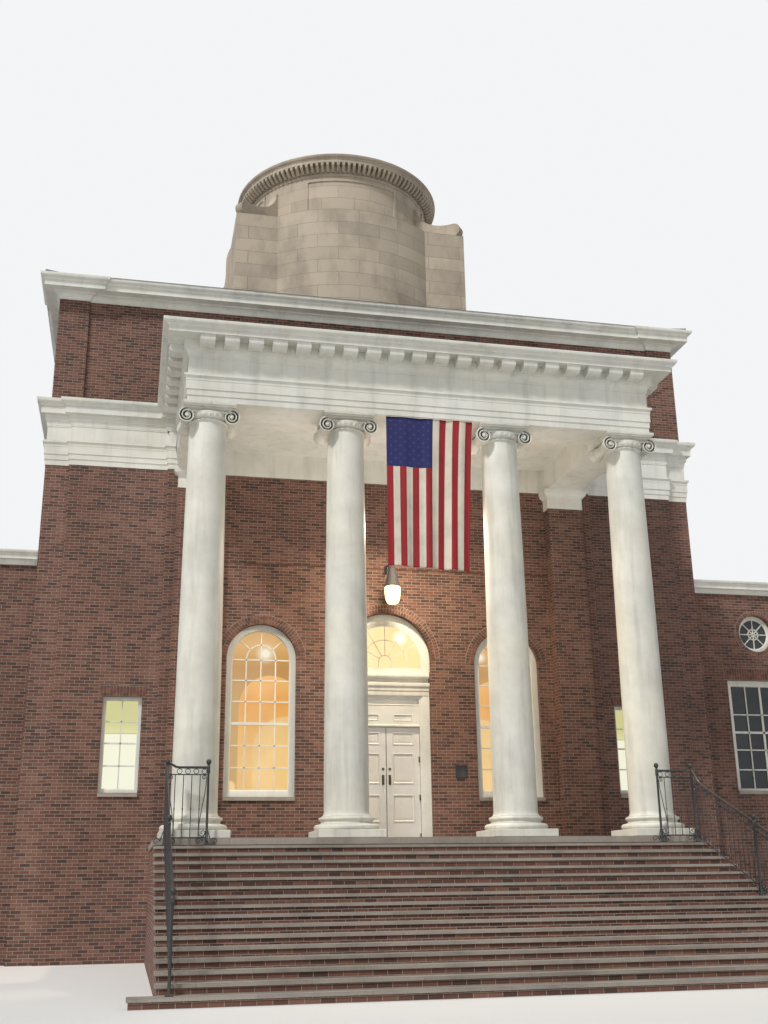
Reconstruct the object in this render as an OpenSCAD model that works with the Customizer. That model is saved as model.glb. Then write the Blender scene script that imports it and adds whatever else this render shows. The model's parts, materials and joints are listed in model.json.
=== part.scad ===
// Brick town hall with a four-column Ionic porch, an attic storey, a round drum
// on the roof and a low wing on each side. Millimetres, +Z up, facade faces -Y.

/* [Main block] */
// Width of the main block over its corner strips
main_w = 15300; // [14700:50:17000]
// Depth of the main block
main_d = 12900; // [12000:100:15000]
// Thickness of the brick walls
wall_t = 400; // [330:10:500]
// Width of the recessed strip at each corner
strip_w = 520; // [350:10:600]
// How far the brick bays stand in front of the corner strips
bay_step = 100; // [60:5:140]
// Width of the pier between a brick bay and the porch
pier_w = 230; // [150:10:300]
// Height of the columns and of the brick walls below the entablature
column_h = 8100; // [7500:50:9000]
// Thickness of the built floors
floor_t = 250; // [150:10:350]

/* [Porch] */
// Distance from the middle of the facade to each inner column
inner_column_x = 1604; // [1550:1:1750]
// Distance from the middle of the facade to each outer column
outer_column_x = 4335; // [4200:5:4450]
// Distance from the facade to the line of the columns
column_y = 3700; // [3200:50:4300]
// Radius of a column shaft at its foot
shaft_r = 412; // [370:1:440]
// Radius of a column shaft at its neck
neck_r = 360; // [320:1:368]
// Half the side of a column plinth
plinth_half = 600; // [580:5:630]
// Height of a column plinth
plinth_h = 135; // [100:5:180]
// Half the width of the porch beams
beam_half = 425; // [400:5:450]
// Half the width of the porch floor and of the steps
porch_half = 5000; // [4960:10:5100]
// Thickness of the stone slab of the porch floor
porch_slab_t = 110; // [80:5:125]
// How far the pilasters at the porch wall stand out
anta_d = 300; // [285:5:450]
// Height of the white blocks on the pilasters
anta_block_h = 460; // [300:10:600]

/* [Steps] */
// Number of risers up to the porch floor
riser_count = 17; // [12:1:18]
// Height of one riser
riser_h = 130; // [125:1:150]
// Depth of one tread
tread_d = 300; // [280:1:340]
// Thickness of a stone tread
tread_t = 45; // [30:1:60]
// How far a tread stands in front of its riser
nosing = 25; // [15:1:35]
// How much wider each of the two lowest steps is at each end
low_step_out = 350; // [250:10:450]

/* [Entablature] */
// Height of the architrave
architrave_h = 560; // [480:5:650]
// Height of the frieze
frieze_h = 340; // [250:5:420]
// Height of the cornice
cornice_h = 600; // [560:5:680]
// How far the porch cornice stands out
porch_cornice_out = 540; // [500:5:600]
// How far the cornice of the main block stands out
main_cornice_out = 270; // [230:5:320]
// Distance between the centres of the blocks under the porch cornice
modillion_pitch = 467; // [420:1:520]
// Width of a block under the porch cornice
modillion_w = 290; // [230:5:340]

/* [Attic] */
// How far the attic walls stand back from the walls below
attic_inset = 80; // [50:5:120]
// Height of the brick attic walls
attic_h = 2600; // [2200:50:3000]
// Height of the attic cornice
attic_cornice_h = 450; // [400:10:520]
// How far the attic cornice stands out
attic_cornice_out = 440; // [380:10:480]
// Width of the corner strips of the attic
attic_strip_w = 620; // [450:10:850]
// How far the corner strips of the attic stand out
attic_strip_out = 60; // [30:5:90]
// Height of the hipped roof over the attic cornice
roof_rise = 1070; // [800:10:1250]
// Run of the roof slope from the eaves to the deck
roof_run = 2650; // [2500:10:2800]
// Thickness of the roofs
roof_t = 250; // [180:10:320]

/* [Drum] */
// Distance from the facade to the centre of the drum
drum_y = 6450; // [6300:10:6600]
// Radius of the round base under the drum
base_r = 3410; // [3370:5:3480]
// Half the width of the square block round the base
base_half_x = 3340; // [3250:10:3360]
// Half the depth of the square block round the base
base_half_y = 2640; // [2500:10:2800]
// Height of the base over the roof deck
base_h = 3680; // [3200:10:4200]
// Outer radius of the drum wall
drum_r = 2750; // [2650:10:2850]
// Height of the drum wall
drum_h = 1500; // [1350:10:1900]
// Outer radius of the ring cornice
ring_r = 3110; // [3060:10:3250]
// Height of the ring cornice
ring_h = 530; // [460:10:600]
// Height of the dome
dome_h = 1100; // [1000:10:1500]
// Thickness of the walls of the drum and its base
drum_t = 220; // [160:10:280]

/* [Windows] */
// Distance from the middle of the facade to each arched window
arched_x = 2790; // [2700:10:2850]
// Width of an arched window opening
arched_w = 1520; // [1400:10:1600]
// Height of the sill of an arched window over the floor
arched_sill = 900; // [700:10:1100]
// Height of the start of the arch over the floor
arched_spring = 3830; // [3500:10:4100]
// Distance from the middle of the facade to each small window
small_x = 5700; // [5650:10:6200]
// Width of a small window opening
small_w = 800; // [650:10:900]
// Height of the sill of a small window over the floor
small_sill = 970; // [800:10:1150]
// Height of the head of a small window over the floor
small_head = 3020; // [2700:10:3300]
// Width of the wooden frame round a window
frame_w = 130; // [90:5:150]
// Depth of the wooden frame of a window
frame_d = 110; // [80:5:130]
// Distance from the wall face back to a window frame
reveal = 110; // [70:5:150]
// Height of a stone window sill
sill_h = 80; // [50:5:110]
// Thickness of the glass
glass_t = 12; // [8:1:20]

/* [Door] */
// Half the width of the doorway in the brick wall
doorway_half = 985; // [960:5:1020]
// Height of the start of the fanlight arch over the floor
fan_spring = 3720; // [3680:10:3900]
// Half the clear width between the door posts
door_half = 760; // [720:5:800]
// Height of the underside of the transom over the floor
leaf_head = 2500; // [2420:10:2600]
// Height of the underside of the head casing over the floor
casing_head = 3120; // [3050:10:3200]
// Height of the head casing
casing_h = 280; // [200:10:300]
// Height of the stone threshold
threshold_h = 20; // [12:1:30]
// Thickness of a door leaf
leaf_t = 55; // [45:1:70]
// Gap round a moving leaf
leaf_gap = 6; // [5.5:0.5:8]
// Gap between the two leaves
meeting_gap = 16; // [14:1:20]
// Distance from the wall face back to the door leaves
leaf_back = 190; // [180:5:220]
// Distance from the wall face back to the door casing
casing_back = 110; // [90:5:120]
// Width of the stiles and the top rail of a leaf
stile_w = 135; // [110:5:150]
// Depth of the sunk panels
panel_sink = 14; // [8:1:18]
// Radius of a hinge pin
pin_r = 8; // [6:0.5:9]
// Radius of a hinge barrel
barrel_r = 14; // [13:0.5:15]
// Height of a hinge barrel
barrel_h = 70; // [50:5:100]
// Clearance of a hinge barrel round its pin
pin_gap = 0.1; // [0.05:0.01:0.1]

/* [Wings] */
// Number of window bays of each wing
wing_bays = 3; // [2:1:4]
// Width of one wing bay
wing_bay_w = 3300; // [3000:50:3330]
// Distance from the facade back to the wing wall
wing_back = 250; // [150:10:500]
// Depth of a wing
wing_d = 10000; // [10000:100:11000]
// Height of the top of a wing over the floor
wing_h = 6150; // [5900:50:6700]
// Height of the white cornice of a wing
wing_cornice_h = 290; // [220:10:350]
// How far the cornice of a wing stands out
wing_cornice_out = 220; // [170:10:280]
// Width of a wing window
wing_window_w = 1800; // [1500:10:1950]
// Height of the sill of a wing window over the floor
wing_sill = 1080; // [900:10:1300]
// Height of the head of a wing window over the floor
wing_head = 3750; // [3400:10:3950]
// Radius of a round window
oculus_r = 450; // [380:10:500]
// Height of the centre of a round window over the floor
oculus_z = 4900; // [4650:10:4950]
// Height of the low hipped roof of a wing
wing_roof_rise = 640; // [450:10:750]
// Run of the slope of a wing roof
wing_roof_run = 3000; // [2600:50:3400]

/* [Ironwork and flag] */
// Height of the stair rail over the treads
rail_h = 1150; // [950:10:1200]
// Distance from the end of the steps in to the stair rail
rail_in = 150; // [120:10:200]
// Side of an iron bar
bar = 22; // [18:1:30]
// Side of an iron post
post = 50; // [40:2:60]
// Length of the level rail in front of each outer column
rail_return = 700; // [500:10:800]
// Width of the hanging flag
flag_w = 1830; // [1500:10:1900]
// Length of the hanging flag
flag_h = 3100; // [2700:10:3200]
// Distance from the middle of the facade to the middle of the flag
flag_x = 35; // [0:5:80]
// Thickness of the folded cloth of the flag
flag_t = 8; // [4:1:12]
// Height of the middle of the lantern globe over the floor
lantern_z = 5270; // [5100:10:5400]
// Distance from the facade out to the lantern
lantern_y = 690; // [550:10:800]
// Radius of the lantern globe
globe_r = 200; // [160:5:220]

/* [Hidden] */

brick = [0.36, 0.22, 0.18];
white = [0.86, 0.87, 0.84];
stone = [0.62, 0.58, 0.52];
iron = [0.08, 0.08, 0.09];
slate = [0.22, 0.23, 0.25];
clear = [0.75, 0.80, 0.80, 0.5];

floor_z = riser_count * riser_h;
main_half = main_w / 2;
column_z = floor_z + column_h;
frieze_z = column_z + architrave_h;
cornice_z = frieze_z + frieze_h;
entablature_z = cornice_z + cornice_h;
attic_z = entablature_z + attic_h;
roof_z = attic_z + attic_cornice_h;
base_z = roof_z + roof_rise;
drum_z = base_z + base_h;
ring_z = drum_z + drum_h;
dome_z = ring_z + ring_h;

// Plan lines of the porch beams and of the stepped brick bays
beam_front = column_y + beam_half;
beam_out = outer_column_x + beam_half;
beam_in = outer_column_x - beam_half;
beam_back = column_y - beam_half;
pier_x = beam_out + pier_w;
pier_step = 2 * bay_step;
bay_x = main_half - strip_w;
porch_front = column_y + plinth_half;
stair_front = porch_front + (riser_count - 1) * tread_d;
attic_half = main_half - attic_inset;
attic_back = main_d - attic_inset;
wing_end = main_half + wing_bays * wing_bay_w;
wing_rear = wing_back + wing_d;
wing_z = floor_z + wing_h;

// The whole is centred front to back about its own outline
y_front = -stair_front - nosing;
y_back = attic_back + attic_strip_out + attic_cornice_out;
y_shift = -(y_front + y_back) / 2;

// A moulding swept along a plan and mitred at every corner. A profile point is
// [distance out, height], and the outside lies on the right of the path.
function unit(v) = v / norm(v);
function right_of(v) = [v.y, -v.x];
function side_of(path, i) = right_of(unit(path[(i + 1) % len(path)] - path[i]));
function mitre(a, b) = (a + b) / (1 + a * b);
function corner(path, i) = mitre(side_of(path, (i - 1 + len(path)) % len(path)), side_of(path, i));

// The stretch of a closed path from corner a on over a number of sides; a plain
// end is cut square, and a mitred end leans into the next stretch
module run(path, a, sides, profile, mitred = true) {
    n = len(path);
    m = len(profile);
    ring = sides == n;
    outs = [for (k = [0:ring ? n - 1 : sides]) let (i = (a + k) % n)
        mitred || (k > 0 && k < sides) ? corner(path, i) : side_of(path, k == 0 ? i : (i - 1 + n) % n)];
    points = [for (k = [0:len(outs) - 1]) for (q = profile)
        let (p = path[(a + k) % n] + outs[k] * q.x) [p.x, p.y, q.y]];
    faces = [for (k = [0:sides - 1]) for (j = [0:m - 1])
        let (u = (k + 1) % len(outs), v = (j + 1) % m) [k * m + v, u * m + v, u * m + j, k * m + j]];
    ends = ring ? [] : [[for (j = [m - 1:-1:0]) j], [for (j = [0:m - 1]) sides * m + j]];
    polyhedron(points, concat(faces, ends), convexity = 10);
}

// Curved stretches of a profile from point a to point b
function hollow(a, b, n = 4) =
    [for (i = [0:n]) let (t = 90 * i / n) a + [(b.x - a.x) * (1 - cos(t)), (b.y - a.y) * sin(t)]];
function bulge(a, b, n = 4) =
    [for (i = [0:n]) let (t = 90 * i / n) a + [(b.x - a.x) * sin(t), (b.y - a.y) * (1 - cos(t))]];
function wave(a, b, n = 3) = let (c = (a + b) / 2)
    concat(hollow(a, c, n), [for (i = [1:n]) bulge(c, b, n)[i]]);
function torus(r, z, h, n = 6) =
    [for (i = [0:n]) let (t = 180 * i / n - 90) [r + h / 2 * cos(t), z + h / 2 + h / 2 * sin(t)]];

// Profiles of the entablature and of the cornices, from the wall plane outwards.
// Each is a white casing fixed to the brick backing.
casing = 15;
function beam_profile(inside) = let (h = architrave_h, z = column_z) concat(
    [[-inside, z], [casing, z], [casing, z + 0.22 * h], [casing + 16, z + 0.22 * h],
        [casing + 16, z + 0.44 * h], [casing + 32, z + 0.44 * h], [casing + 32, z + 0.76 * h]],
    hollow([casing + 38, z + 0.76 * h], [casing + 66, z + 0.92 * h], 3),
    [[casing + 74, z + 0.92 * h], [casing + 74, frieze_z], [casing, frieze_z], [casing, cornice_z],
        [-inside, cornice_z]]);
function porch_cornice_profile(inside) = let (h = cornice_h, z = cornice_z, o = porch_cornice_out) concat(
    [[-inside, z], [casing + 14, z], [casing + 14, z + 0.06 * h]],
    hollow([casing + 20, z + 0.06 * h], [110, z + 0.26 * h]),
    [[118, z + 0.26 * h], [118, z + 0.60 * h], [o - 110, z + 0.60 * h], [o - 110, z + 0.76 * h]],
    wave([o - 98, z + 0.76 * h], [o, z + 0.95 * h]),
    [[o, z + h], [-inside, z + h]]);
main_cornice_profile = let (h = cornice_h, z = cornice_z, o = main_cornice_out) concat(
    [[0, z], [casing + 12, z], [casing + 12, z + 0.05 * h]],
    hollow([casing + 18, z + 0.05 * h], [70, z + 0.24 * h]),
    [[76, z + 0.24 * h], [76, z + 0.46 * h], [o - 104, z + 0.46 * h], [o - 104, z + 0.72 * h]],
    wave([o - 92, z + 0.72 * h], [o, z + 0.94 * h]),
    [[o, z + h], [0, z + h]]);
attic_cornice_profile = let (h = attic_cornice_h, z = attic_z, o = attic_cornice_out) concat(
    [[0, z], [12, z], [12, z + 0.06 * h]],
    hollow([18, z + 0.06 * h], [110, z + 0.30 * h]),
    [[120, z + 0.30 * h], [120, z + 0.38 * h], [o - 104, z + 0.38 * h], [o - 104, z + 0.66 * h]],
    wave([o - 92, z + 0.66 * h], [o, z + 0.93 * h]),
    [[o, z + h], [0, z + h]]);
wing_cornice_profile = let (h = wing_cornice_h, z = wing_z - wing_cornice_h, o = wing_cornice_out) concat(
    [[0, z], [20, z], [20, z + 0.14 * h]],
    hollow([26, z + 0.14 * h], [90, z + 0.36 * h], 3),
    [[o - 66, z + 0.36 * h], [o - 66, z + 0.66 * h]],
    wave([o - 58, z + 0.66 * h], [o, z + 0.92 * h], 2),
    [[o, z + h], [0, z + h]]);

// Plan of the main block with its porch, walked with the outside on the right
function both_sides(half) = concat([for (i = [len(half) - 1:-1:0]) [-half[i].x, half[i].y]], half);
facade_half = [[beam_out, -beam_front], [beam_out, -pier_step], [pier_x, -pier_step],
    [pier_x, -bay_step], [bay_x, -bay_step], [bay_x, 0], [main_half, 0], [main_half, main_d]];
facade = both_sides(facade_half);
front_corner = len(facade_half) - 1;
break_x = max(pier_x, beam_out + porch_cornice_out - main_cornice_out);
cornice_plan = both_sides([for (p = facade_half) p.x == pier_x ? [break_x, p.y] : p]);
attic_strip_half = attic_half - attic_strip_w;
attic_edge = attic_half + attic_strip_out;
attic_rear = attic_back + attic_strip_out;
attic_front = attic_inset - attic_strip_out;
attic_plan = both_sides([[attic_strip_half, attic_inset], [attic_strip_half, attic_front],
    [attic_edge, attic_front], [attic_edge, attic_inset + attic_strip_w],
    [attic_half, attic_inset + attic_strip_w], [attic_half, attic_back - attic_strip_w],
    [attic_edge, attic_back - attic_strip_w], [attic_edge, attic_rear],
    [attic_strip_half, attic_rear], [attic_strip_half, attic_back]]);
function wing_plan(s) = s > 0 ?
    [[main_half, wing_back], [wing_end, wing_back], [wing_end, wing_rear], [main_half, wing_rear]] :
    [[-main_half, wing_rear], [-wing_end, wing_rear], [-wing_end, wing_back], [-main_half, wing_back]];

module block(x0, x1, y0, y1, z0, z1) {
    translate([min(x0, x1), y0, z0]) cube([abs(x1 - x0), y1 - y0, z1 - z0]);
}
// A flat outline in the XZ plane pushed from y0 to y1
module through(y0, y1) {
    translate([0, y1, 0]) rotate([90, 0, 0]) linear_extrude(y1 - y0) children();
}

// Outlines of the openings, standing on the floor level
module arched_outline(w, sill, spring, inset = 0) {
    translate([0, floor_z]) {
        translate([inset - w / 2, sill + inset]) square([w - 2 * inset, spring - sill - inset]);
        translate([0, spring]) circle(r = w / 2 - inset, $fn = 64);
    }
}
module square_outline(w, sill, head, inset = 0) {
    translate([inset - w / 2, floor_z + sill + inset]) square([w - 2 * inset, head - sill - 2 * inset]);
}
module round_outline(inset = 0) {
    translate([0, floor_z + oculus_z]) circle(r = oculus_r - inset, $fn = 48);
}
module arched_shape(inset = 0) {
    arched_outline(arched_w, arched_sill, arched_spring, inset);
}
module small_shape(inset = 0) {
    square_outline(small_w, small_sill, small_head, inset);
}
module wing_shape(inset = 0) {
    square_outline(wing_window_w, wing_sill, wing_head, inset);
}

// Each row of windows calls its children once for every window place
module front_windows() {
    for (s = [-1, 1]) {
        translate([s * arched_x, 0, 0]) children(0);
        translate([s * small_x, -bay_step, 0]) children(1);
    }
}
module rear_windows() {
    translate([0, main_d, 0]) rotate([0, 0, 180]) {
        for (x = [-arched_x, 0, arched_x]) translate([x, 0, 0]) children(0);
        for (x = [-small_x, small_x]) translate([x, 0, 0]) children(1);
    }
}
module wing_bays_of(s) {
    for (i = [0.5:1:wing_bays - 0.5]) {
        x = s * (main_half + i * wing_bay_w);
        translate([x, wing_back, 0]) children();
        translate([x, wing_rear, 0]) rotate([0, 0, 180]) children();
    }
    for (i = [-1:1])
        translate([s * wing_end, wing_back + wing_d / 2 + i * wing_bay_w, 0])
            rotate([0, 0, s * 90]) children();
}
// What one window is made of, seen from outside with the wall face at y = 0
module window_hole(kind) {
    if (kind == "arched") through(-wall_t, 2 * wall_t) arched_shape();
    if (kind == "small") through(-wall_t, 2 * wall_t) small_shape();
    if (kind == "wing") through(-wall_t, 2 * wall_t) {
        wing_shape();
        round_outline();
    }
}
module window_frame(kind) {
    through(reveal, reveal + frame_d) {
        if (kind == "arched") difference() {
            arched_shape();
            arched_shape(frame_w);
        }
        if (kind == "small") difference() {
            small_shape();
            small_shape(frame_w / 2);
        }
        if (kind == "wing") {
            difference() {
                wing_shape();
                wing_shape(frame_w);
            }
            difference() {
                round_outline();
                round_outline(frame_w / 2);
            }
        }
    }
}
module window_pane(kind) {
    y = reveal + frame_d / 2;
    through(y, y + glass_t) {
        if (kind == "arched") arched_shape(frame_w);
        if (kind == "small") small_shape(frame_w / 2);
        if (kind == "wing") {
            wing_shape(frame_w);
            round_outline(frame_w / 2);
        }
    }
}
module window_sill(kind) {
    w = kind == "arched" ? arched_w : kind == "small" ? small_w : wing_window_w;
    z = floor_z + (kind == "arched" ? arched_sill : kind == "small" ? small_sill : wing_sill);
    block(-w / 2, w / 2, -40, reveal, z, z + sill_h);
}

// Steps and porch floor
function step_end(i) = porch_half + max(0, i - riser_count + 2) * low_step_out;
module step_core() {
    color(brick)
    for (i = [1:riser_count - 1])
        block(-step_end(i), step_end(i), -porch_front - i * tread_d, -porch_front - (i - 1) * tread_d,
            0, (riser_count - i) * riser_h - tread_t);
}
module step_treads() {
    color(stone)
    for (i = [1:riser_count - 1])
        block(-step_end(i) - nosing, step_end(i) + nosing, -porch_front - i * tread_d - nosing,
            -porch_front - (i - 1) * tread_d,
            (riser_count - i) * riser_h - tread_t, (riser_count - i) * riser_h);
}
function porch_plan(grow) = [
    [-porch_half - grow, -porch_front - grow], [porch_half + grow, -porch_front - grow],
    [porch_half + grow, -pier_step], [beam_out, -pier_step], [beam_out, 0],
    [-beam_out, 0], [-beam_out, -pier_step], [-porch_half - grow, -pier_step]];
module porch_base() {
    color(brick) linear_extrude(floor_z - porch_slab_t) polygon(porch_plan(0));
}
module porch_floor() {
    color(stone) translate([0, 0, floor_z - porch_slab_t]) linear_extrude(porch_slab_t)
        polygon(porch_plan(nosing));
}

// Columns on moulded bases; the shaft tapers with a slight swelling
capital_h = 360;
shaft_z = floor_z + plinth_h;
shaft_top = column_z - capital_h;
flare = 345;
function shaft_at(t) = shaft_r + (neck_r - shaft_r) * pow(t, 1.7);
module column(x) {
    color(white)
    translate([x, -column_y, 0]) {
        block(-plinth_half, plinth_half, -plinth_half, plinth_half, floor_z, shaft_z);
        rotate_extrude($fn = 64) polygon(concat(
            [[0, shaft_z]],
            torus(plinth_half - 62, shaft_z, 105),
            [[shaft_r + 78, shaft_z + 105], [shaft_r + 78, shaft_z + 118]],
            [for (t = [30:30:150]) [shaft_r + 74 - 24 * sin(t), shaft_z + 118 + 26 * (1 - cos(t))]],
            torus(shaft_r + 66, shaft_z + 172, 58),
            [[shaft_r + 44, shaft_z + 230], [shaft_r + 44, shaft_z + 248]],
            [for (t = [0:22.5:90])
                [shaft_r + 40 * (1 - sin(t)), shaft_z + 250 + (flare - 250) * (1 - cos(t))]],
            [for (i = [1:12]) [shaft_at(i / 12), shaft_z + flare + (shaft_top - shaft_z - flare) * i / 12]],
            [[0, shaft_top]]));
    }
}

// Ionic capital: echinus over a bead, a scrolled face before and behind, waisted
// side rolls and a square abacus
eye_x = 426;
eye_drop = 267;
eye_r = 38;
scroll_r = 178;
scroll_pitch = 62;
scroll_turns = 2.2;
scroll_y = 372;
scroll_rise = 34;
fillet = 26;
roll_r = 160;
waist = 58;
canal_low = 66;
echinus_out = 92;
abacus_half = 505;
abacus_h = 95;
abacus_step = 35;
function spiral(r0, a) = let (r = r0 - scroll_pitch * a / 360) [r * cos(90 + a), r * sin(90 + a)];
module scroll_ribbon() {
    steps = 32;
    polygon(concat(
        [for (i = [0:steps]) spiral(scroll_r, 360 * scroll_turns * i / steps)],
        [for (i = [steps:-1:0])
            spiral(scroll_r - fillet * (1 - 0.4 * i / steps), 360 * scroll_turns * i / steps)]));
}
module scroll_face() {
    for (s = [-1, 1]) translate([s * eye_x, 0]) mirror([s > 0 ? 1 : 0, 0]) {
        scroll_ribbon();
        circle(r = eye_r, $fn = 24);
    }
    translate([-eye_x, scroll_r - fillet]) square([2 * eye_x, fillet]);
    translate([92 - eye_x, canal_low]) square([2 * eye_x - 184, fillet]);
}
module capital(x) {
    eye_z = column_z - eye_drop;
    color(white)
    translate([x, -column_y, 0]) {
        rotate_extrude($fn = 64) polygon(concat([[0, shaft_top], [neck_r, shaft_top]],
            torus(neck_r + 2, shaft_top + 6, 50, 4),
            hollow([neck_r + 8, shaft_top + 64], [neck_r + echinus_out, shaft_top + 172], 3),
            [[neck_r + echinus_out, shaft_top + 190], [0, shaft_top + 190]]));
        block(-eye_x, eye_x, -scroll_y, scroll_y, eye_z + canal_low, eye_z + scroll_r);
        for (s = [-1, 1]) translate([s * eye_x, 0, eye_z]) rotate([90, 0, 0]) rotate_extrude($fn = 48)
            polygon([for (y = [-1:0.25:1]) [roll_r - waist * cos(90 * y), scroll_y * y],
                [0, scroll_y], [0, -scroll_y]]);
        block(-abacus_half, abacus_half, -abacus_half, abacus_half, column_z - abacus_h + 30, column_z);
        half = abacus_half - abacus_step;
        block(-half, half, -half, half, eye_z + scroll_r, column_z - abacus_h + 30);
        for (r = [0, 180]) rotate([90, 0, r]) translate([0, eye_z, scroll_y])
            linear_extrude(scroll_rise) scroll_face();
    }
}

// Porch beams, cornice, ceiling and roof. A stretch lies along the front or along
// the sides, and is mitred where the two meet.
reach = beam_out + 800;
module mitre_cut(front) {
    linear_extrude(entablature_z + 1) polygon(front ?
        [[beam_in - 1, 1 - beam_back], [reach + 1, beam_out - beam_front - reach - 1],
            [reach + 1, 1 - beam_back]] :
        [[beam_in - 1, 1 - beam_back], [reach + 1, beam_out - beam_front - reach - 1],
            [beam_in - 1, beam_out - beam_front - reach - 1]]);
}
module front_stretch() {
    difference() {
        translate([-reach, outer_column_x - column_y, 0]) rotate([90, 0, 0]) rotate([0, 90, 0])
            linear_extrude(2 * reach) mirror([1, 0]) children();
        for (s = [0, 1]) mirror([s, 0, 0]) mitre_cut(true);
    }
}
module side_stretch() {
    difference() {
        rotate([90, 0, 0]) linear_extrude(beam_front + 700) children();
        mitre_cut(false);
    }
}
module beam_section() {
    polygon([for (q = beam_profile(2 * beam_half)) [beam_out + q.x, q.y]]);
}
module cornice_section() {
    polygon([for (q = porch_cornice_profile(2 * beam_half)) [beam_out + q.x, q.y]]);
}
module porch_beam_front() {
    color(white) front_stretch() beam_section();
}
module porch_beam_sides() {
    color(white) for (s = [0, 1]) mirror([s, 0, 0]) difference() {
        side_stretch() beam_section();
        linear_extrude(entablature_z) polygon([[beam_out, 1], [beam_out, -pier_step],
            [beam_out + 300, -pier_step - 300], [beam_out + 300, 1]]);
    }
}
module porch_cornice_front() {
    color(white) front_stretch() cornice_section();
}
// Each side dies into the cornice of the pier behind it
module porch_cornice_sides() {
    top = entablature_z + 1;
    color(white) for (s = [0, 1]) mirror([s, 0, 0]) difference() {
        side_stretch() cornice_section();
        translate([beam_out, 0, 0]) rotate([90, 0, 90]) linear_extrude(2 * porch_cornice_out)
            polygon(concat([[1, cornice_z - 1], [-pier_step - casing - 12, cornice_z - 1]],
                [for (i = [2:len(main_cornice_profile) - 2])
                    [-pier_step - main_cornice_profile[i].x, main_cornice_profile[i].y]],
                [[-pier_step - main_cornice_out, top], [1, top]]));
    }
}
module modillions() {
    top = cornice_z + 0.60 * cornice_h;
    h = 0.34 * cornice_h - 44;
    front = beam_front + 118;
    depth = porch_cornice_out - 118 - 150;
    half_count = floor((beam_out + porch_cornice_out - 190) / modillion_pitch);
    side_count = floor((beam_front - pier_step - 330) / modillion_pitch);
    color(white) {
        for (i = [-half_count:half_count - 1])
            translate([(i + 0.5) * modillion_pitch, -front, top]) modillion(depth, h);
        for (s = [-1, 1]) for (i = [0:side_count - 1])
            translate([s * (beam_out + 118), -beam_front + 75 + (i + 0.5) * modillion_pitch, top])
                rotate([0, 0, s * 90]) modillion(depth, h);
    }
}
module modillion(depth, h) {
    translate([modillion_w / 2, 0, -h]) rotate([90, 0, -90]) linear_extrude(modillion_w)
        polygon(concat([[0, 0]], [for (t = [0:15:60]) [depth * 0.55 + depth * 0.45 * sin(t * 1.5),
            h * 0.5 * (1 - cos(t * 1.5))]], [[depth, h], [0, h]]));
}
module porch_ceiling() {
    color(white) block(-beam_in, beam_in, -beam_back, -30, frieze_z, frieze_z + 60);
}
module porch_roof() {
    color(slate) block(-beam_in, beam_in, -beam_back, 0, entablature_z - 140, entablature_z);
}

// Brick pilasters at the ends of the porch wall
module antae() {
    color(brick) for (s = [-1, 1])
        block(s * beam_in, s * beam_out, -anta_d, 0, floor_z, column_z - anta_block_h);
}

// Front wall, split over and under the doorway
door_part_half = doorway_half + 300;
door_part_z = floor_z + fan_spring - 300;
module front_wall(s) {
    color(brick) difference() {
        linear_extrude(entablature_z) polygon([for (p = concat(
            [[doorway_half, wall_t], [doorway_half, 0], [beam_out, 0], [beam_out, -pier_step]],
            [for (i = [2:6]) facade_half[i]], [[main_half, wall_t]])) [s * p.x, p.y]]);
        block(0, s * door_part_half, -1, wall_t + 1, door_part_z, entablature_z + 1);
        front_windows() {
            window_hole("arched");
            window_hole("small");
        }
    }
}
module doorway_wall() {
    color(brick) {
        block(-doorway_half, doorway_half, 0, wall_t, 0, floor_z);
        through(0, wall_t) difference() {
            translate([-door_part_half, door_part_z])
                square([2 * door_part_half, entablature_z - door_part_z]);
            arched_outline(2 * doorway_half, 0, fan_spring);
        }
    }
}
module side_wall(s) {
    color(brick) block(s * (main_half - wall_t), s * main_half, wall_t, main_d - wall_t, 0, entablature_z);
}
module rear_wall() {
    color(brick) difference() {
        block(-main_half, main_half, main_d - wall_t, main_d, 0, entablature_z);
        rear_windows() {
            window_hole("arched");
            window_hole("small");
        }
    }
}
module main_floor() {
    color(stone) block(wall_t - main_half, main_half - wall_t, wall_t, main_d - wall_t,
        floor_z - floor_t, floor_z);
}

// White band over the porch wall with the blocks on the pilasters
band_out = 30;
anta_cap = [[85, 52], [62, 84], [40, 118], [18, 158]];
module porch_wall_band() {
    color(white) {
        block(-beam_in, beam_in, -band_out, 0, column_z, frieze_z);
        for (s = [-1, 1]) {
            block(s * (beam_in - 20), s * beam_out, -anta_d - 20, 0, column_z - anta_block_h, column_z);
            // Moulded cap in four steps
            for (p = anta_cap) {
                y = -anta_d - 20 - p.x;
                block(s * (beam_in - 20 - p.x), s * beam_out, y, 0, column_z - p.y, column_z);
                block(s * beam_in, s * (beam_out + p.x), y, -pier_step, column_z - p.y, column_z);
            }
        }
    }
}
module main_entablature() {
    color(white) run(facade, front_corner + 2, len(facade) - 3, beam_profile(0));
}
module main_cornice() {
    color(white) run(cornice_plan, front_corner + 2, len(facade) - 3, main_cornice_profile, mitred = false);
}

// Attic storey with its cornice
module attic_walls() {
    color(brick) translate([0, 0, entablature_z]) linear_extrude(roof_z - entablature_z) difference() {
        polygon(attic_plan);
        translate([wall_t - attic_half, attic_inset + wall_t])
            square([2 * (attic_half - wall_t), attic_back - attic_inset - 2 * wall_t]);
    }
}
module attic_cornice() {
    color(white) run(attic_plan, 0, len(attic_plan), attic_cornice_profile);
}

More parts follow.
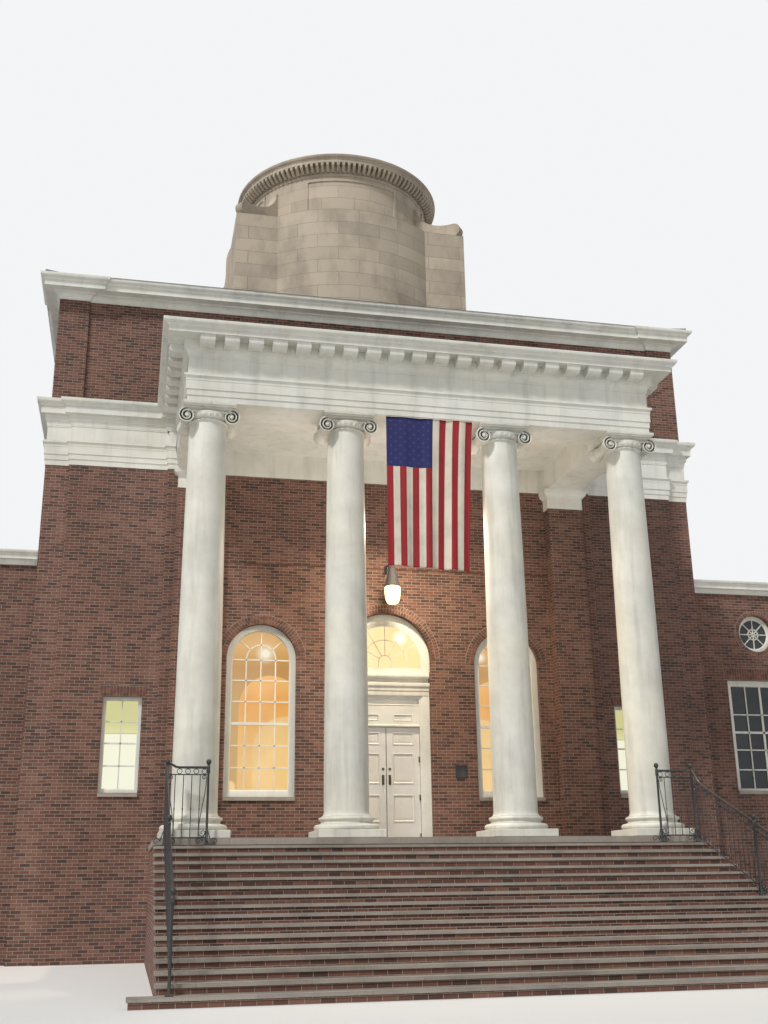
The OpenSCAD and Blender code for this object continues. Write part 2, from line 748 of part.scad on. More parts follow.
// A hipped roof cut level at the top, as the meeting of two long prisms
module hip(x0, x1, y0, y1, z, rise, run_x0, run_x1, run_y) {
    intersection() {
        through(y0 - 1, y1 + 1) polygon([[x0, z], [x1, z], [x1 - run_x1, z + rise], [x0 + run_x0, z + rise]]);
        translate([x0 - 1, 0, 0]) rotate([90, 0, 90]) linear_extrude(x1 - x0 + 2)
            polygon([[y0, z], [y1, z], [y1 - run_y, z + rise], [y0 + run_y, z + rise]]);
    }
}
module main_roof() {
    x = attic_edge + attic_cornice_out - 40;
    y0 = attic_front - attic_cornice_out + 40;
    y1 = attic_rear + attic_cornice_out - 40;
    k = roof_t * roof_run / roof_rise;
    color(slate) difference() {
        hip(-x, x, y0, y1, roof_z, roof_rise, roof_run, roof_run, roof_run);
        hip(-x + k, x - k, y0 + k, y1 - k, roof_z - 0.01, roof_rise - roof_t + 0.01,
            roof_run - k, roof_run - k, roof_run - k);
    }
}

// Round base with square shoulders, scroll buttresses, drum, ring cornice, dome
module base_plan(t) {
    circle(r = base_r - t, $fn = 96);
    square([2 * (base_half_x - t), 2 * (base_half_y - t)], center = true);
}
module drum_base() {
    color(stone) translate([0, drum_y, base_z]) difference() {
        linear_extrude(base_h) base_plan(0);
        translate([0, 0, -1]) linear_extrude(base_h - drum_t + 1) base_plan(drum_t);
    }
}
buttress_t = 260;
module scroll_buttresses() {
    reach = norm([base_half_x, base_half_y]) - 60;
    h = drum_h - 250;
    angle = atan2(base_half_y, base_half_x);
    color(stone) translate([0, drum_y, drum_z]) difference() {
        for (a = [angle, 180 - angle, 180 + angle, -angle]) rotate([0, 0, a])
            translate([0, buttress_t / 2, 0]) rotate([90, 0, 0]) linear_extrude(buttress_t)
                scroll_side(reach, h);
        translate([0, 0, -1]) cylinder(h = drum_h + 2, r = drum_r, $fn = 96);
    }
}
module scroll_side(reach, h) {
    w = reach - drum_r;
    r = 210;
    polygon(concat([[drum_r - 300, 0], [reach - r, 0], [reach - r, 2 * r]],
        [for (t = [0:10:90]) [reach - r - (w - r - 60) * sin(t), 2 * r + (h - 2 * r) * (1 - cos(t))]],
        [[drum_r + 60, h], [drum_r - 300, h]]));
    translate([reach - r, r]) circle(r = r, $fn = 32);
}
module drum() {
    color(white) translate([0, drum_y, drum_z]) difference() {
        cylinder(h = drum_h, r = drum_r, $fn = 96);
        translate([0, 0, -1]) cylinder(h = drum_h + 2, r = drum_r - drum_t, $fn = 96);
    }
}
module drum_cornice() {
    h = ring_h;
    color(white) translate([0, drum_y, ring_z]) rotate_extrude($fn = 96) polygon(concat(
        [[drum_r - drum_t, 0], [drum_r + 20, 0], [drum_r + 20, 0.14 * h]],
        hollow([drum_r + 28, 0.14 * h], [drum_r + 90, 0.34 * h]),
        [[drum_r + 96, 0.34 * h], [drum_r + 96, 0.58 * h], [ring_r - 80, 0.58 * h], [ring_r - 80, 0.74 * h]],
        wave([ring_r - 72, 0.74 * h], [ring_r, 0.95 * h]),
        [[ring_r, h], [drum_r - drum_t, h]]));
}
module dome() {
    rise = dome_h;
    r = drum_r - 60;
    color(slate) translate([0, drum_y, dome_z]) rotate_extrude($fn = 96) polygon(concat(
        [for (t = [0:7.5:90]) [r * cos(t), rise * sin(t)]],
        [for (t = [90:-7.5:0]) [(r - drum_t) * cos(t), (rise - drum_t) * sin(t)]]));
}

// Window frames, glass and sills of all the walls
module all_windows() {
    front_windows() {
        children(0);
        children(1);
    }
    rear_windows() {
        children(0);
        children(1);
    }
    for (s = [-1, 1]) wing_bays_of(s) children(2);
}
module window_frames() {
    color(white) all_windows() {
        window_frame("arched");
        window_frame("small");
        window_frame("wing");
    }
}
module window_glass() {
    color(clear) {
        all_windows() {
            window_pane("arched");
            window_pane("small");
            window_pane("wing");
        }
        through(fan_y, fan_y + glass_t) translate([0, floor_z + fan_spring]) intersection() {
            circle(r = doorway_half - fan_rim, $fn = 64);
            translate([-doorway_half, fan_foot]) square([2 * doorway_half, doorway_half]);
        }
    }
}
module window_sills() {
    color(stone) all_windows() {
        window_sill("arched");
        window_sill("small");
        window_sill("wing");
    }
}

// Door casing, transom panel, frieze and fanlight
fan_rim = 90;
fan_foot = 60;
fan_y = 200;
frame_back = 300;
casing_step = 20;
casing_rim = 30;
post_back = 60;
transom_top = 3000;
transom_panel = [[165, 600], [2630, 2775]];
fan_sill_h = 150;
stop_w = 20;
module door_frame() {
    color(white) translate([0, 0, floor_z]) {
        // Posts behind the casing; the head beam is sunk over the transom and in the frieze
        difference() {
            through(casing_back + post_back, frame_back) difference() {
                translate([-doorway_half, 0]) square([2 * doorway_half, fan_spring - fan_sill_h]);
                translate([-door_half, -1]) square([2 * door_half, leaf_head + 1]);
            }
            block(-door_half, door_half, casing_back, casing_back + 2 * post_back, transom_top, casing_head);
            block(2 * casing_rim - doorway_half, doorway_half - 2 * casing_rim, casing_back,
                casing_back + 1.5 * post_back, casing_head + casing_h, fan_spring - fan_sill_h + 1);
        }
        // Stepped casing
        for (i = [0:2]) {
            w = door_half + casing_rim * (2 - i);
            through(casing_back + casing_step * i, casing_back + casing_step * (i + 1) + 2) difference() {
                translate([-doorway_half, 0]) square([2 * doorway_half, casing_head + casing_h]);
                translate([-w, -1]) square([2 * w, casing_head + casing_rim * (2 - i) + 1]);
            }
        }
        // Board over the leaves with two sunk panels
        difference() {
            block(-door_half, door_half, casing_back + 35, casing_back + post_back, leaf_head, transom_top);
            for (s = [-1, 1])
                block(s * transom_panel[0].x, s * transom_panel[0].y,
                    casing_back, casing_back + 35 + panel_sink, transom_panel[1].x, transom_panel[1].y);
        }
        // Sill under the fanlight
        through(casing_back - 30, frame_back) translate([-doorway_half, fan_spring - fan_sill_h])
            square([2 * doorway_half, fan_sill_h]);
        // Stop behind the leaves
        through(leaf_back + leaf_t + leaf_gap, frame_back) difference() {
            translate([-door_half, 0]) square([2 * door_half, leaf_head]);
            translate([stop_w - door_half, -1]) square([2 * (door_half - stop_w), leaf_head - stop_w + 1]);
        }
    }
    color(stone) block(-doorway_half, doorway_half, casing_back, wall_t, floor_z, floor_z + threshold_h);
    color(iron) for (s = [-1, 1]) for (z = hinge_zs) hinge_pin(s, floor_z + z);
}
module fanlight() {
    color(white) through(fan_y - 50, fan_y + 50) translate([0, floor_z + fan_spring]) intersection() {
        union() {
            difference() {
                circle(r = doorway_half, $fn = 64);
                circle(r = doorway_half - fan_rim, $fn = 64);
            }
            translate([-doorway_half, 0]) square([2 * doorway_half, fan_foot]);
        }
        circle(r = doorway_half - 0.5, $fn = 64);
        translate([-doorway_half, 0]) square([2 * doorway_half, doorway_half]);
    }
}

// Door leaves turning outwards on barrels at their outer edges
hinge_zs = [170, 985, 1800];
leaf_panels = [[470, 1045], [1275, 1930], [2110, 2385]];
lock_z = 1590;
pull_z = 1360;
pull_h = 210;
hinge_x = door_half - 20;
hinge_y = leaf_back - 20;
leaf_foot = threshold_h + leaf_gap;
leaf_top = leaf_head - leaf_gap;
module hinge_pin(s, z) {
    end_h = 24;
    translate([s * hinge_x, hinge_y, z - barrel_h / 2 - 1 - end_h])
        cylinder(h = barrel_h + 2 + 2 * end_h, r = pin_r, $fn = 32);
    for (e = [-1, 1]) translate([0, 0, z + e * (barrel_h / 2 + 1 + end_h / 2) - end_h / 2]) {
        translate([s * hinge_x, hinge_y, 0]) cylinder(h = end_h, r = barrel_r, $fn = 32);
        block(s * hinge_x, s * door_half, hinge_y - 5, hinge_y + 5, 0, end_h);
    }
}
module door_leaf(s) {
    edge = door_half - leaf_gap;
    w = edge - meeting_gap / 2;
    color(white) difference() {
        union() {
            block(s * meeting_gap / 2, s * edge, leaf_back, leaf_back + leaf_t,
                floor_z + leaf_foot, floor_z + leaf_top);
            for (z = hinge_zs) translate([0, 0, floor_z + z - barrel_h / 2]) {
                translate([s * hinge_x, hinge_y, 0]) cylinder(h = barrel_h, r = barrel_r, $fn = 32);
                block(s * (hinge_x - 5), s * (hinge_x + 5), hinge_y, leaf_back + 1, 0, barrel_h);
            }
        }
        for (z = hinge_zs) translate([s * hinge_x, hinge_y, floor_z + z - barrel_h / 2 - 1])
            cylinder(h = barrel_h + 2, r = pin_r + pin_gap, $fn = 32);
        for (p = leaf_panels)
            for (y = [leaf_back - 1, leaf_back + leaf_t - panel_sink])
                block(s * (meeting_gap / 2 + stile_w), s * (edge - stile_w), y, y + panel_sink + 1,
                    floor_z + p[0], floor_z + p[1]);
    }
    // Pull on a plate, and the lock over it
    color(iron) translate([s * 75, leaf_back, floor_z]) {
        block(-28, 28, -8, 0, pull_z - pull_h / 2, pull_z + pull_h / 2);
        for (e = [-1, 1]) translate([0, 0, pull_z + e * (pull_h / 2 - 30)]) block(-9, 9, -60, -8, -9, 9);
        block(-11, 11, -72, -52, pull_z - pull_h / 2 + 21, pull_z + pull_h / 2 - 21);
        translate([0, 0, lock_z]) rotate([90, 0, 0]) cylinder(h = 14, r = 30, $fn = 32);
    }
}

// Wings
module wing_walls(s) {
    top = wing_z;
    color(brick) difference() {
        block(s * main_half, s * wing_end, wing_back, wing_rear, 0, top);
        block(s * (main_half - 1), s * (wing_end - wall_t), wing_back + wall_t, wing_rear - wall_t,
            -1, top + 1);
        wing_bays_of(s) window_hole("wing");
    }
}
module wing_floors() {
    color(stone) for (s = [-1, 1])
        block(s * main_half, s * (wing_end - wall_t), wing_back + wall_t, wing_rear - wall_t,
            floor_z - floor_t, floor_z);
}
module wing_cornice(s) {
    color(white) run(wing_plan(s), 0, 3, wing_cornice_profile, mitred = false);
}
module wing_roofs() {
    out = wing_cornice_out - 30;
    k = roof_t * wing_roof_run / wing_roof_rise;
    color(slate) for (s = [-1, 1]) mirror([s > 0 ? 0 : 1, 0, 0]) difference() {
        hip(main_half, wing_end + out, wing_back - out, wing_rear + out, wing_z,
            wing_roof_rise, 0, wing_roof_run, wing_roof_run);
        hip(main_half - 1, wing_end + out - k, wing_back - out + k, wing_rear + out - k, wing_z - 0.01,
            wing_roof_rise - roof_t + 0.01, 0, wing_roof_run - k, wing_roof_run - k);
    }
}

// Iron stair rails with a short level return at the top of the steps
rail_x = porch_half - rail_in;
rail_gap = 120;
rail_t = 30;
knob_drop = 30;
module railing(s) {
    top_y = -porch_front - tread_d / 2;
    foot_y = -stair_front + tread_d / 2;
    slope = riser_h / tread_d;
    x0 = rail_x - bar / 2;
    color(iron) mirror([s > 0 ? 0 : 1, 0, 0]) {
        // Sloping rails
        for (z = [rail_gap, rail_h - rail_gap, rail_h])
            translate([x0, 0, 0]) rotate([90, 0, 90]) linear_extrude(bar)
                polygon([[foot_y, riser_h + z], [top_y, floor_z - riser_h + z],
                    [top_y, floor_z - riser_h + z + rail_t], [foot_y, riser_h + z + rail_t]]);
        // Upright bars between the rails
        for (i = [1:(riser_count - 2) * 2 - 1]) {
            y = foot_y + i * tread_d / 2;
            z = riser_h + (y - foot_y) * slope;
            block(x0 + bar / 4, x0 + 3 * bar / 4, y - bar / 4, y + bar / 4,
                z + rail_gap + 10, z + rail_h + 10);
        }
        // Posts at the foot, in the middle and at the head
        for (i = [1, ceil(riser_count / 2)])
            iron_post(rail_x, -stair_front + (i - 0.5) * tread_d, i * riser_h, rail_h);
        // Level return in front of the outer column, a riser higher than the sloping rails
        head_z = floor_z - riser_h;
        level_h = rail_h + riser_h;
        for (x = [rail_x, rail_x - rail_return]) iron_post(x, top_y, head_z, level_h);
        for (z = [rail_gap, level_h - rail_gap, level_h])
            block(rail_x - rail_return, rail_x, top_y - bar / 2, top_y + bar / 2,
                head_z + z, head_z + z + rail_t);
        gap = rail_return / 5;
        for (i = [1:4])
            block(rail_x - i * gap - bar / 4, rail_x - i * gap + bar / 4, top_y - bar / 4, top_y + bar / 4,
                head_z + rail_gap + 10, head_z + level_h + 10);
    }
}
module iron_post(x, y, z, h) {
    block(x - post / 2, x + post / 2, y - post / 2, y + post / 2, z, z + h + 3 * rail_t);
    translate([x, y, z + h + 3 * rail_t + knob_drop]) sphere(r = 0.9 * post, $fn = 24);
}

// Lantern on a wall bracket over the door
lantern_cap = [[0, -30], [120, -30], [200, 40], [120, 170], [40, 380], [16, 420]];
module lantern() {
    z = floor_z + lantern_z;
    arm_z = z + 760;
    color(iron) {
        block(-70, 70, -20, 0, arm_z - 250, arm_z + 120);
        block(-15, 15, -lantern_y, -20, arm_z - 15, arm_z + 15);
        translate([0, -lantern_y, 0]) rotate_extrude($fn = 48) polygon(concat(
            [for (p = lantern_cap) [p.x, z + globe_r + p.y]], [[16, arm_z + 15], [0, arm_z + 15]]));
    }
    color(clear) translate([0, -lantern_y, z]) difference() {
        sphere(r = globe_r, $fn = 48);
        translate([0, 0, globe_r]) cube([4 * globe_r, 4 * globe_r, 60], center = true);
    }
}
flag_in = 25;
module flag() {
    y = flag_in - beam_front;
    color("firebrick") block(flag_x - flag_w / 2, flag_x + flag_w / 2, y - flag_t / 2, y + flag_t / 2,
        column_z - flag_h, column_z);
}

translate([0, y_shift, 0]) {
    porch_base();
    step_core();
    step_treads();
    porch_floor();
    column(-outer_column_x);  // column_1
    column(-inner_column_x);  // column_2
    column(inner_column_x);  // column_3
    column(outer_column_x);  // column_4
    capital(-outer_column_x);  // capital_1
    capital(-inner_column_x);  // capital_2
    capital(inner_column_x);  // capital_3
    capital(outer_column_x);  // capital_4
    porch_beam_front();
    porch_beam_sides();
    porch_cornice_front();
    porch_cornice_sides();
    modillions();
    porch_roof();
    porch_ceiling();
    antae();
    front_wall(-1);  // front_wall_left
    front_wall(1);  // front_wall_right
    doorway_wall();
    side_wall(-1);  // side_wall_left
    side_wall(1);  // side_wall_right
    rear_wall();
    main_floor();
    porch_wall_band();
    main_entablature();
    main_cornice();
    attic_walls();
    attic_cornice();
    main_roof();
    drum_base();
    scroll_buttresses();
    drum();
    drum_cornice();
    dome();
    window_frames();
    window_glass();
    window_sills();
    door_frame();
    fanlight();
    door_leaf(-1);  // door_leaf_left
    door_leaf(1);  // door_leaf_right
    wing_walls(-1);  // left_wing_walls
    wing_walls(1);  // right_wing_walls
    wing_floors();
    wing_cornice(-1);  // left_wing_cornice
    wing_cornice(1);  // right_wing_cornice
    wing_roofs();
    railing(-1);  // left_railing
    railing(1);  // right_railing
    lantern();
    flag();
}
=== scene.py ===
"""Town hall building: finishes and finer pieces on the measured frame."""
import json
import math

import bmesh
import bpy
from bpy.props import FloatProperty, FloatVectorProperty, IntProperty, PointerProperty
from mathutils import Matrix, Vector


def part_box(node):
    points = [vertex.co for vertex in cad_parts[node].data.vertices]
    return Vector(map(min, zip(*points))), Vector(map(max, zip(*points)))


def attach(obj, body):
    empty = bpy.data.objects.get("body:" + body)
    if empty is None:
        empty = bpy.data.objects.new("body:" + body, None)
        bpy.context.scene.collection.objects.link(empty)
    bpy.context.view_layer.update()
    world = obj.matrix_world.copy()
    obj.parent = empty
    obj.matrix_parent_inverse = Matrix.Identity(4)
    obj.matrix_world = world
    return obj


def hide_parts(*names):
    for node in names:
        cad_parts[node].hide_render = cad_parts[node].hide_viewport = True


bl_info = {
    "name": "Town Hall Finishes",
    "version": (1, 0, 0),
    "blender": (4, 5, 0),
    "location": "View3D > Sidebar > Town Hall",
    "description": "Brickwork, joinery, ironwork, stonework and flag of a town hall",
    "category": "Object",
}

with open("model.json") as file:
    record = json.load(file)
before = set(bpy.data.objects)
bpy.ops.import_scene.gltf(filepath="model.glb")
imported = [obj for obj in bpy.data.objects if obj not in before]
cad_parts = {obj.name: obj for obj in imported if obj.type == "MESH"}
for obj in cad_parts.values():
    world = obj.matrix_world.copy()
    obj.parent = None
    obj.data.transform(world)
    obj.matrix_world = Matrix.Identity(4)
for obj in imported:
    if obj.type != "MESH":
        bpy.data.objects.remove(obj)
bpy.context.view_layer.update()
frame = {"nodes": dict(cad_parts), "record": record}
BUILDING = "building"

# Levels and lines that the other pieces are set out from, in metres
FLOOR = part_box("porch_floor")[1].z
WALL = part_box("doorway_wall")[0].y
COLUMN_LINE = (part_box("column_1")[0].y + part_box("column_1")[1].y) / 2
COLUMN_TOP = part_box("capital_1")[1].z
COLUMN_X = [(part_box("column_%d" % i)[0].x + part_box("column_%d" % i)[1].x) / 2 for i in (1, 2, 3, 4)]
BACK_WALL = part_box("rear_wall")[1].y
WING_FRONT, WING_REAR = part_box("left_wing_walls")[0].y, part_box("left_wing_walls")[1].y
WING_IN, WING_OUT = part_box("right_wing_walls")[0].x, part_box("right_wing_walls")[1].x
DRUM_Y = (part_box("drum")[0].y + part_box("drum")[1].y) / 2
DRUM_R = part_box("drum")[1].x


# ---- Settings shown in the sidebar

class BrickSettings(bpy.types.PropertyGroup):
    """Sizes and colours of the brickwork"""
    course: FloatProperty(name="Course", description="Height of a course with its joint", default=0.0677, unit="LENGTH")
    length: FloatProperty(name="Brick", description="Length of a brick with its joint", default=0.203, unit="LENGTH")
    joint: FloatProperty(name="Joint", description="Width of a mortar joint", default=0.0095, unit="LENGTH")
    dark: FloatVectorProperty(name="Dark brick", description="Colour of the darkest bricks", subtype="COLOR",
        default=(0.066, 0.032, 0.025))
    red: FloatVectorProperty(name="Red brick", description="Colour of most bricks", subtype="COLOR",
        default=(0.150, 0.064, 0.045))
    light: FloatVectorProperty(name="Light brick", description="Colour of the lightest bricks", subtype="COLOR",
        default=(0.215, 0.104, 0.070))
    mortar: FloatVectorProperty(name="Mortar", description="Colour of the joints", subtype="COLOR",
        default=(0.330, 0.290, 0.240))


class PaintSettings(bpy.types.PropertyGroup):
    """Colours of the painted wood and metal"""
    white: FloatVectorProperty(name="White paint", description="Mouldings and windows", subtype="COLOR",
        default=(0.740, 0.745, 0.700))
    column: FloatVectorProperty(name="Column paint", description="Columns and capitals", subtype="COLOR",
        default=(0.720, 0.720, 0.660))
    door: FloatVectorProperty(name="Door paint", description="Door leaves", subtype="COLOR",
        default=(0.760, 0.755, 0.730))
    iron: FloatVectorProperty(name="Iron", description="Railings and lantern bracket", subtype="COLOR",
        default=(0.018, 0.018, 0.020))


class StoneSettings(bpy.types.PropertyGroup):
    """Colours of stone, slate and roof metal"""
    granite: FloatVectorProperty(name="Granite", description="Treads and sills", subtype="COLOR",
        default=(0.330, 0.295, 0.255))
    limestone: FloatVectorProperty(name="Limestone", description="Drum and its base", subtype="COLOR",
        default=(0.480, 0.410, 0.320))
    slate: FloatVectorProperty(name="Slate", description="Roof slates", subtype="COLOR", default=(0.085, 0.092, 0.105))
    metal: FloatVectorProperty(name="Roof metal", description="Dome", subtype="COLOR", default=(0.200, 0.240, 0.225))


class GlazingSettings(bpy.types.PropertyGroup):
    """Window bars and the lit rooms behind the panes"""
    bar: FloatProperty(name="Bar", description="Width of a glazing bar", default=0.026, unit="LENGTH")
    glow: FloatProperty(name="Glow", description="Brightness of the lit rooms", default=0.85, min=0.0, max=3.0)
    warm: FloatVectorProperty(name="Warm light", description="Colour of the lit rooms", subtype="COLOR",
        default=(1.0, 0.60, 0.20))


class FlagSettings(bpy.types.PropertyGroup):
    """Cut of the hanging flag"""
    width: FloatProperty(name="Width", description="Width of the flag laid flat", default=1.83, unit="LENGTH")
    length: FloatProperty(name="Length", description="Length of the flag laid flat", default=3.08, unit="LENGTH")
    stripes: IntProperty(name="Stripes", description="Number of stripes", default=13, min=3, max=21)
    red: FloatVectorProperty(name="Red", description="Red stripes", subtype="COLOR", default=(0.300, 0.006, 0.012))
    blue: FloatVectorProperty(name="Blue", description="Corner field", subtype="COLOR", default=(0.005, 0.009, 0.105))


class StageSettings(bpy.types.PropertyGroup):
    """Camera place and studio light"""
    eye: FloatVectorProperty(name="Camera", description="Place of the camera", subtype="XYZ", unit="LENGTH",
        default=(-5.482, -26.8495, 1.483))
    yaw: FloatProperty(name="Yaw", description="Turn of the camera to the right, in degrees", default=12.449)
    pitch: FloatProperty(name="Pitch", description="Tilt of the camera upwards, in degrees", default=17.83)
    roll: FloatProperty(name="Roll", description="Roll of the camera, in degrees", default=-0.772)
    lens: FloatProperty(name="Lens", description="Focal length on a 36 mm long side", default=40.288)
    sun: FloatProperty(name="Sun", description="Strength of the main lamp", default=2.5)
    sky: FloatProperty(name="Sky", description="Strength of the light from all round", default=0.30)
    fill: FloatProperty(name="Fill", description="Strength of the soft lamp near the eye", default=0.33)
    ceiling: FloatProperty(name="Ceiling light", description="Watts of the soft lamp under the porch ceiling",
        default=95.0)
    doorway: FloatProperty(name="Doorway light", description="Watts of the warm lamp over the door", default=270.0)


SETTINGS = {"th_brick": BrickSettings, "th_paint": PaintSettings, "th_stone": StoneSettings,
    "th_glazing": GlazingSettings, "th_flag": FlagSettings, "th_stage": StageSettings}


def setting(group):
    return getattr(bpy.context.scene, group)


# ---- Gathering shapes into one mesh

WELD = 0.00005  # Points closer than this become one


def angles(n):
    """n equal steps round a circle."""
    return [math.tau * i / n for i in range(n)]


def quarter():
    """(sine, 1 - cosine) at nine places along a quarter turn, for hollow and round mouldings."""
    return [(math.sin(math.pi * k / 16), 1 - math.cos(math.pi * k / 16)) for k in range(9)]


def square(half, z):
    """Corners of a level square."""
    return [(x * half, y * half, z) for x, y in ((-1, -1), (1, -1), (1, 1), (-1, 1))]


FINISH = {}  # Materials by name, filled by the first operator


def add_piece(name, mesh, slot, finish=None, body=BUILDING, sharp=32, replaces=()):
    """Puts a mesh into the scene as a named piece; its finish has the name of its slot where no other is given."""
    mesh.shade_smooth()
    mesh.set_sharp_from_angle(angle=math.radians(sharp))
    mesh.materials.append(FINISH[finish or slot])
    piece = bpy.data.objects.new(name, mesh)
    bpy.context.scene.collection.objects.link(piece)
    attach(piece, body)
    if replaces:
        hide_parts(*replaces)


class Shape:
    """Points and faces gathered before they become one piece."""

    def __init__(self):
        self.points, self.faces = [], []

    def add(self, points, faces, at=None):
        first = len(self.points)
        self.points += [tuple(at @ Vector(p)) if at is not None else tuple(p) for p in points]
        self.faces += [[i + first for i in f] for f in faces]
        return self

    def block(self, lo, hi, at=None):
        (a, b, c), (d, e, f) = lo, hi
        points = [(a, b, c), (d, b, c), (d, e, c), (a, e, c), (a, b, f), (d, b, f), (d, e, f), (a, e, f)]
        faces = [[0, 3, 2, 1], [4, 5, 6, 7], [0, 1, 5, 4], [1, 2, 6, 5], [2, 3, 7, 6], [3, 0, 4, 7]]
        return self.add(points, faces, at)

    def rings(self, rings, at=None, caps=True):
        """Joins rings of points, each of the same number, into a skin."""
        n, last = len(rings[0]), len(rings) - 1
        faces = [[k * n + i, k * n + (i + 1) % n, (k + 1) * n + (i + 1) % n, (k + 1) * n + i]
            for k in range(last) for i in range(n)]
        if caps:
            faces += [list(range(n - 1, -1, -1)), [last * n + i for i in range(n)]]
        return self.add([p for ring in rings for p in ring], faces, at)

    def run(self, profile, half, at=None):
        """A moulding of (y, z) points that runs from -half to half along X."""
        return self.rings([[(x, y, z) for y, z in profile] for x in (-half, half)], at)

    def lathe(self, profile, n, at=None):
        """Turns a profile of (radius, height), from the bottom up on the outside."""
        turn = [(math.cos(a), math.sin(a)) for a in angles(n)]
        return self.rings([[(r * c, r * s, z) for c, s in turn] for r, z in profile], at)

    def torus_line(self, path, radius, n, at=None, closed=False):
        """A round bar along a path of points."""
        path = [Vector(p) for p in path]
        count = len(path)
        rings, side = [], None
        for i, p in enumerate(path):
            before = path[i - 1] if i > 0 or closed else p
            after = path[(i + 1) % count] if i < count - 1 or closed else p
            way = (after - before).normalized()
            if side is None:
                side = way.orthogonal().normalized()
            side = (side - way * side.dot(way)).normalized()
            up = way.cross(side)
            rings.append([p + radius * (math.cos(a) * side + math.sin(a) * up) for a in angles(n)])
        if closed:
            rings.append(rings[0])
        return self.rings(rings, at, not closed)

    def moulding(self, outline, profile, at=None):
        """A frame round a closed outline of (x, z); profile points are (inwards, y)."""
        n = len(outline)
        loops = []
        for inset, y in profile:
            loop = []
            for i in range(n):
                a, b, c = (Vector(outline[(i + k) % n]) for k in (-1, 0, 1))
                d0, d1 = (b - a).normalized(), (c - b).normalized()
                n0, n1 = Vector((-d0.y, d0.x)), Vector((-d1.y, d1.x))
                q = b + inset * (n0 + n1) / (1 + n0.dot(n1))
                loop.append((q.x, y, q.y))
            loops.append(loop)
        loops.append(loops[0])
        return self.rings(loops, at, False)

    def take(self, mesh, at=None):
        """Adds a plain mesh, which is then thrown away."""
        self.add([v.co for v in mesh.vertices], [list(p.vertices) for p in mesh.polygons], at)
        bpy.data.meshes.remove(mesh)
        return self

    def piece(self, name, slot, *finish, **more):
        """Closes the seams, turns the faces outwards and makes the piece."""
        mesh = bpy.data.meshes.new(name)
        mesh.from_pydata(self.points, [], self.faces)
        work = bmesh.new()
        work.from_mesh(mesh)
        bmesh.ops.remove_doubles(work, verts=work.verts, dist=WELD)
        bmesh.ops.recalc_face_normals(work, faces=work.faces)
        work.to_mesh(mesh)
        work.free()
        add_piece(name, mesh, slot, *finish, **more)


def at(x, y, z, turn=0.0):
    """A place given from the middle of the facade, at the level of the porch floor."""
    return Matrix.Translation((x, WALL + y, FLOOR + z)) @ Matrix.Rotation(math.radians(turn), 4, "Z")


def arc(radius, end, n, z=0.0):
    """Points (x, z) on an arc round a centre at height z, from the right-hand side up to an angle in degrees."""
    turns = [math.radians(end * i / n) for i in range(n + 1)]
    return [(radius * math.cos(a), z + radius * math.sin(a)) for a in turns]


# ---- Nodes

def colour(rgb):
    """A colour with its fourth part, as sockets want it."""
    return (*rgb[:3], 1.0)


def plug(tree, value, socket):
    """Feeds a socket with a node's result, or with a plain number, vector, colour or text."""
    if isinstance(value, Value):
        value = value.socket
    if isinstance(value, bpy.types.NodeSocket):
        tree.links.new(value, socket)
    else:
        socket.default_value = colour(value) if socket.type == "RGBA" else value


def put(tree, kind, *values, **named):
    """Adds a node; sockets are given by place or by capitalised name, settings in small letters."""
    node = tree.nodes.new(kind)
    for key, value in named.items():
        if key[0].islower():
            setattr(node, key, value)
    for i, value in enumerate(values):
        plug(tree, value, node.inputs[i])
    for key, value in named.items():
        if not key[0].islower():
            plug(tree, value, node.inputs[key.replace("_", " ")])
    return node


def maths(operation, swapped=False):
    """A method that follows a number with a Math node."""
    def method(self, *other):
        values = (*other, self) if swapped else (self, *other)
        return Value(self.tree, put(self.tree, "ShaderNodeMath", *values, operation=operation).outputs[0])
    return method


class Value:
    """A node's result; arithmetic and comparisons with it add Math nodes."""

    def __init__(self, tree, socket):
        self.tree, self.socket = tree, socket

    __add__ = __radd__ = maths("ADD")
    __mul__ = __rmul__ = maths("MULTIPLY")
    __sub__, __rsub__ = maths("SUBTRACT"), maths("SUBTRACT", True)
    __lt__, __gt__ = maths("LESS_THAN"), maths("GREATER_THAN")
    __abs__, __mod__, __floor__, __round__ = maths("ABSOLUTE"), maths("MODULO"), maths("FLOOR"), maths("ROUND")
    cos, sin, atan2, root, most = maths("COSINE"), maths("SINE"), maths("ARCTAN2"), maths("SQRT"), maths("MAXIMUM")


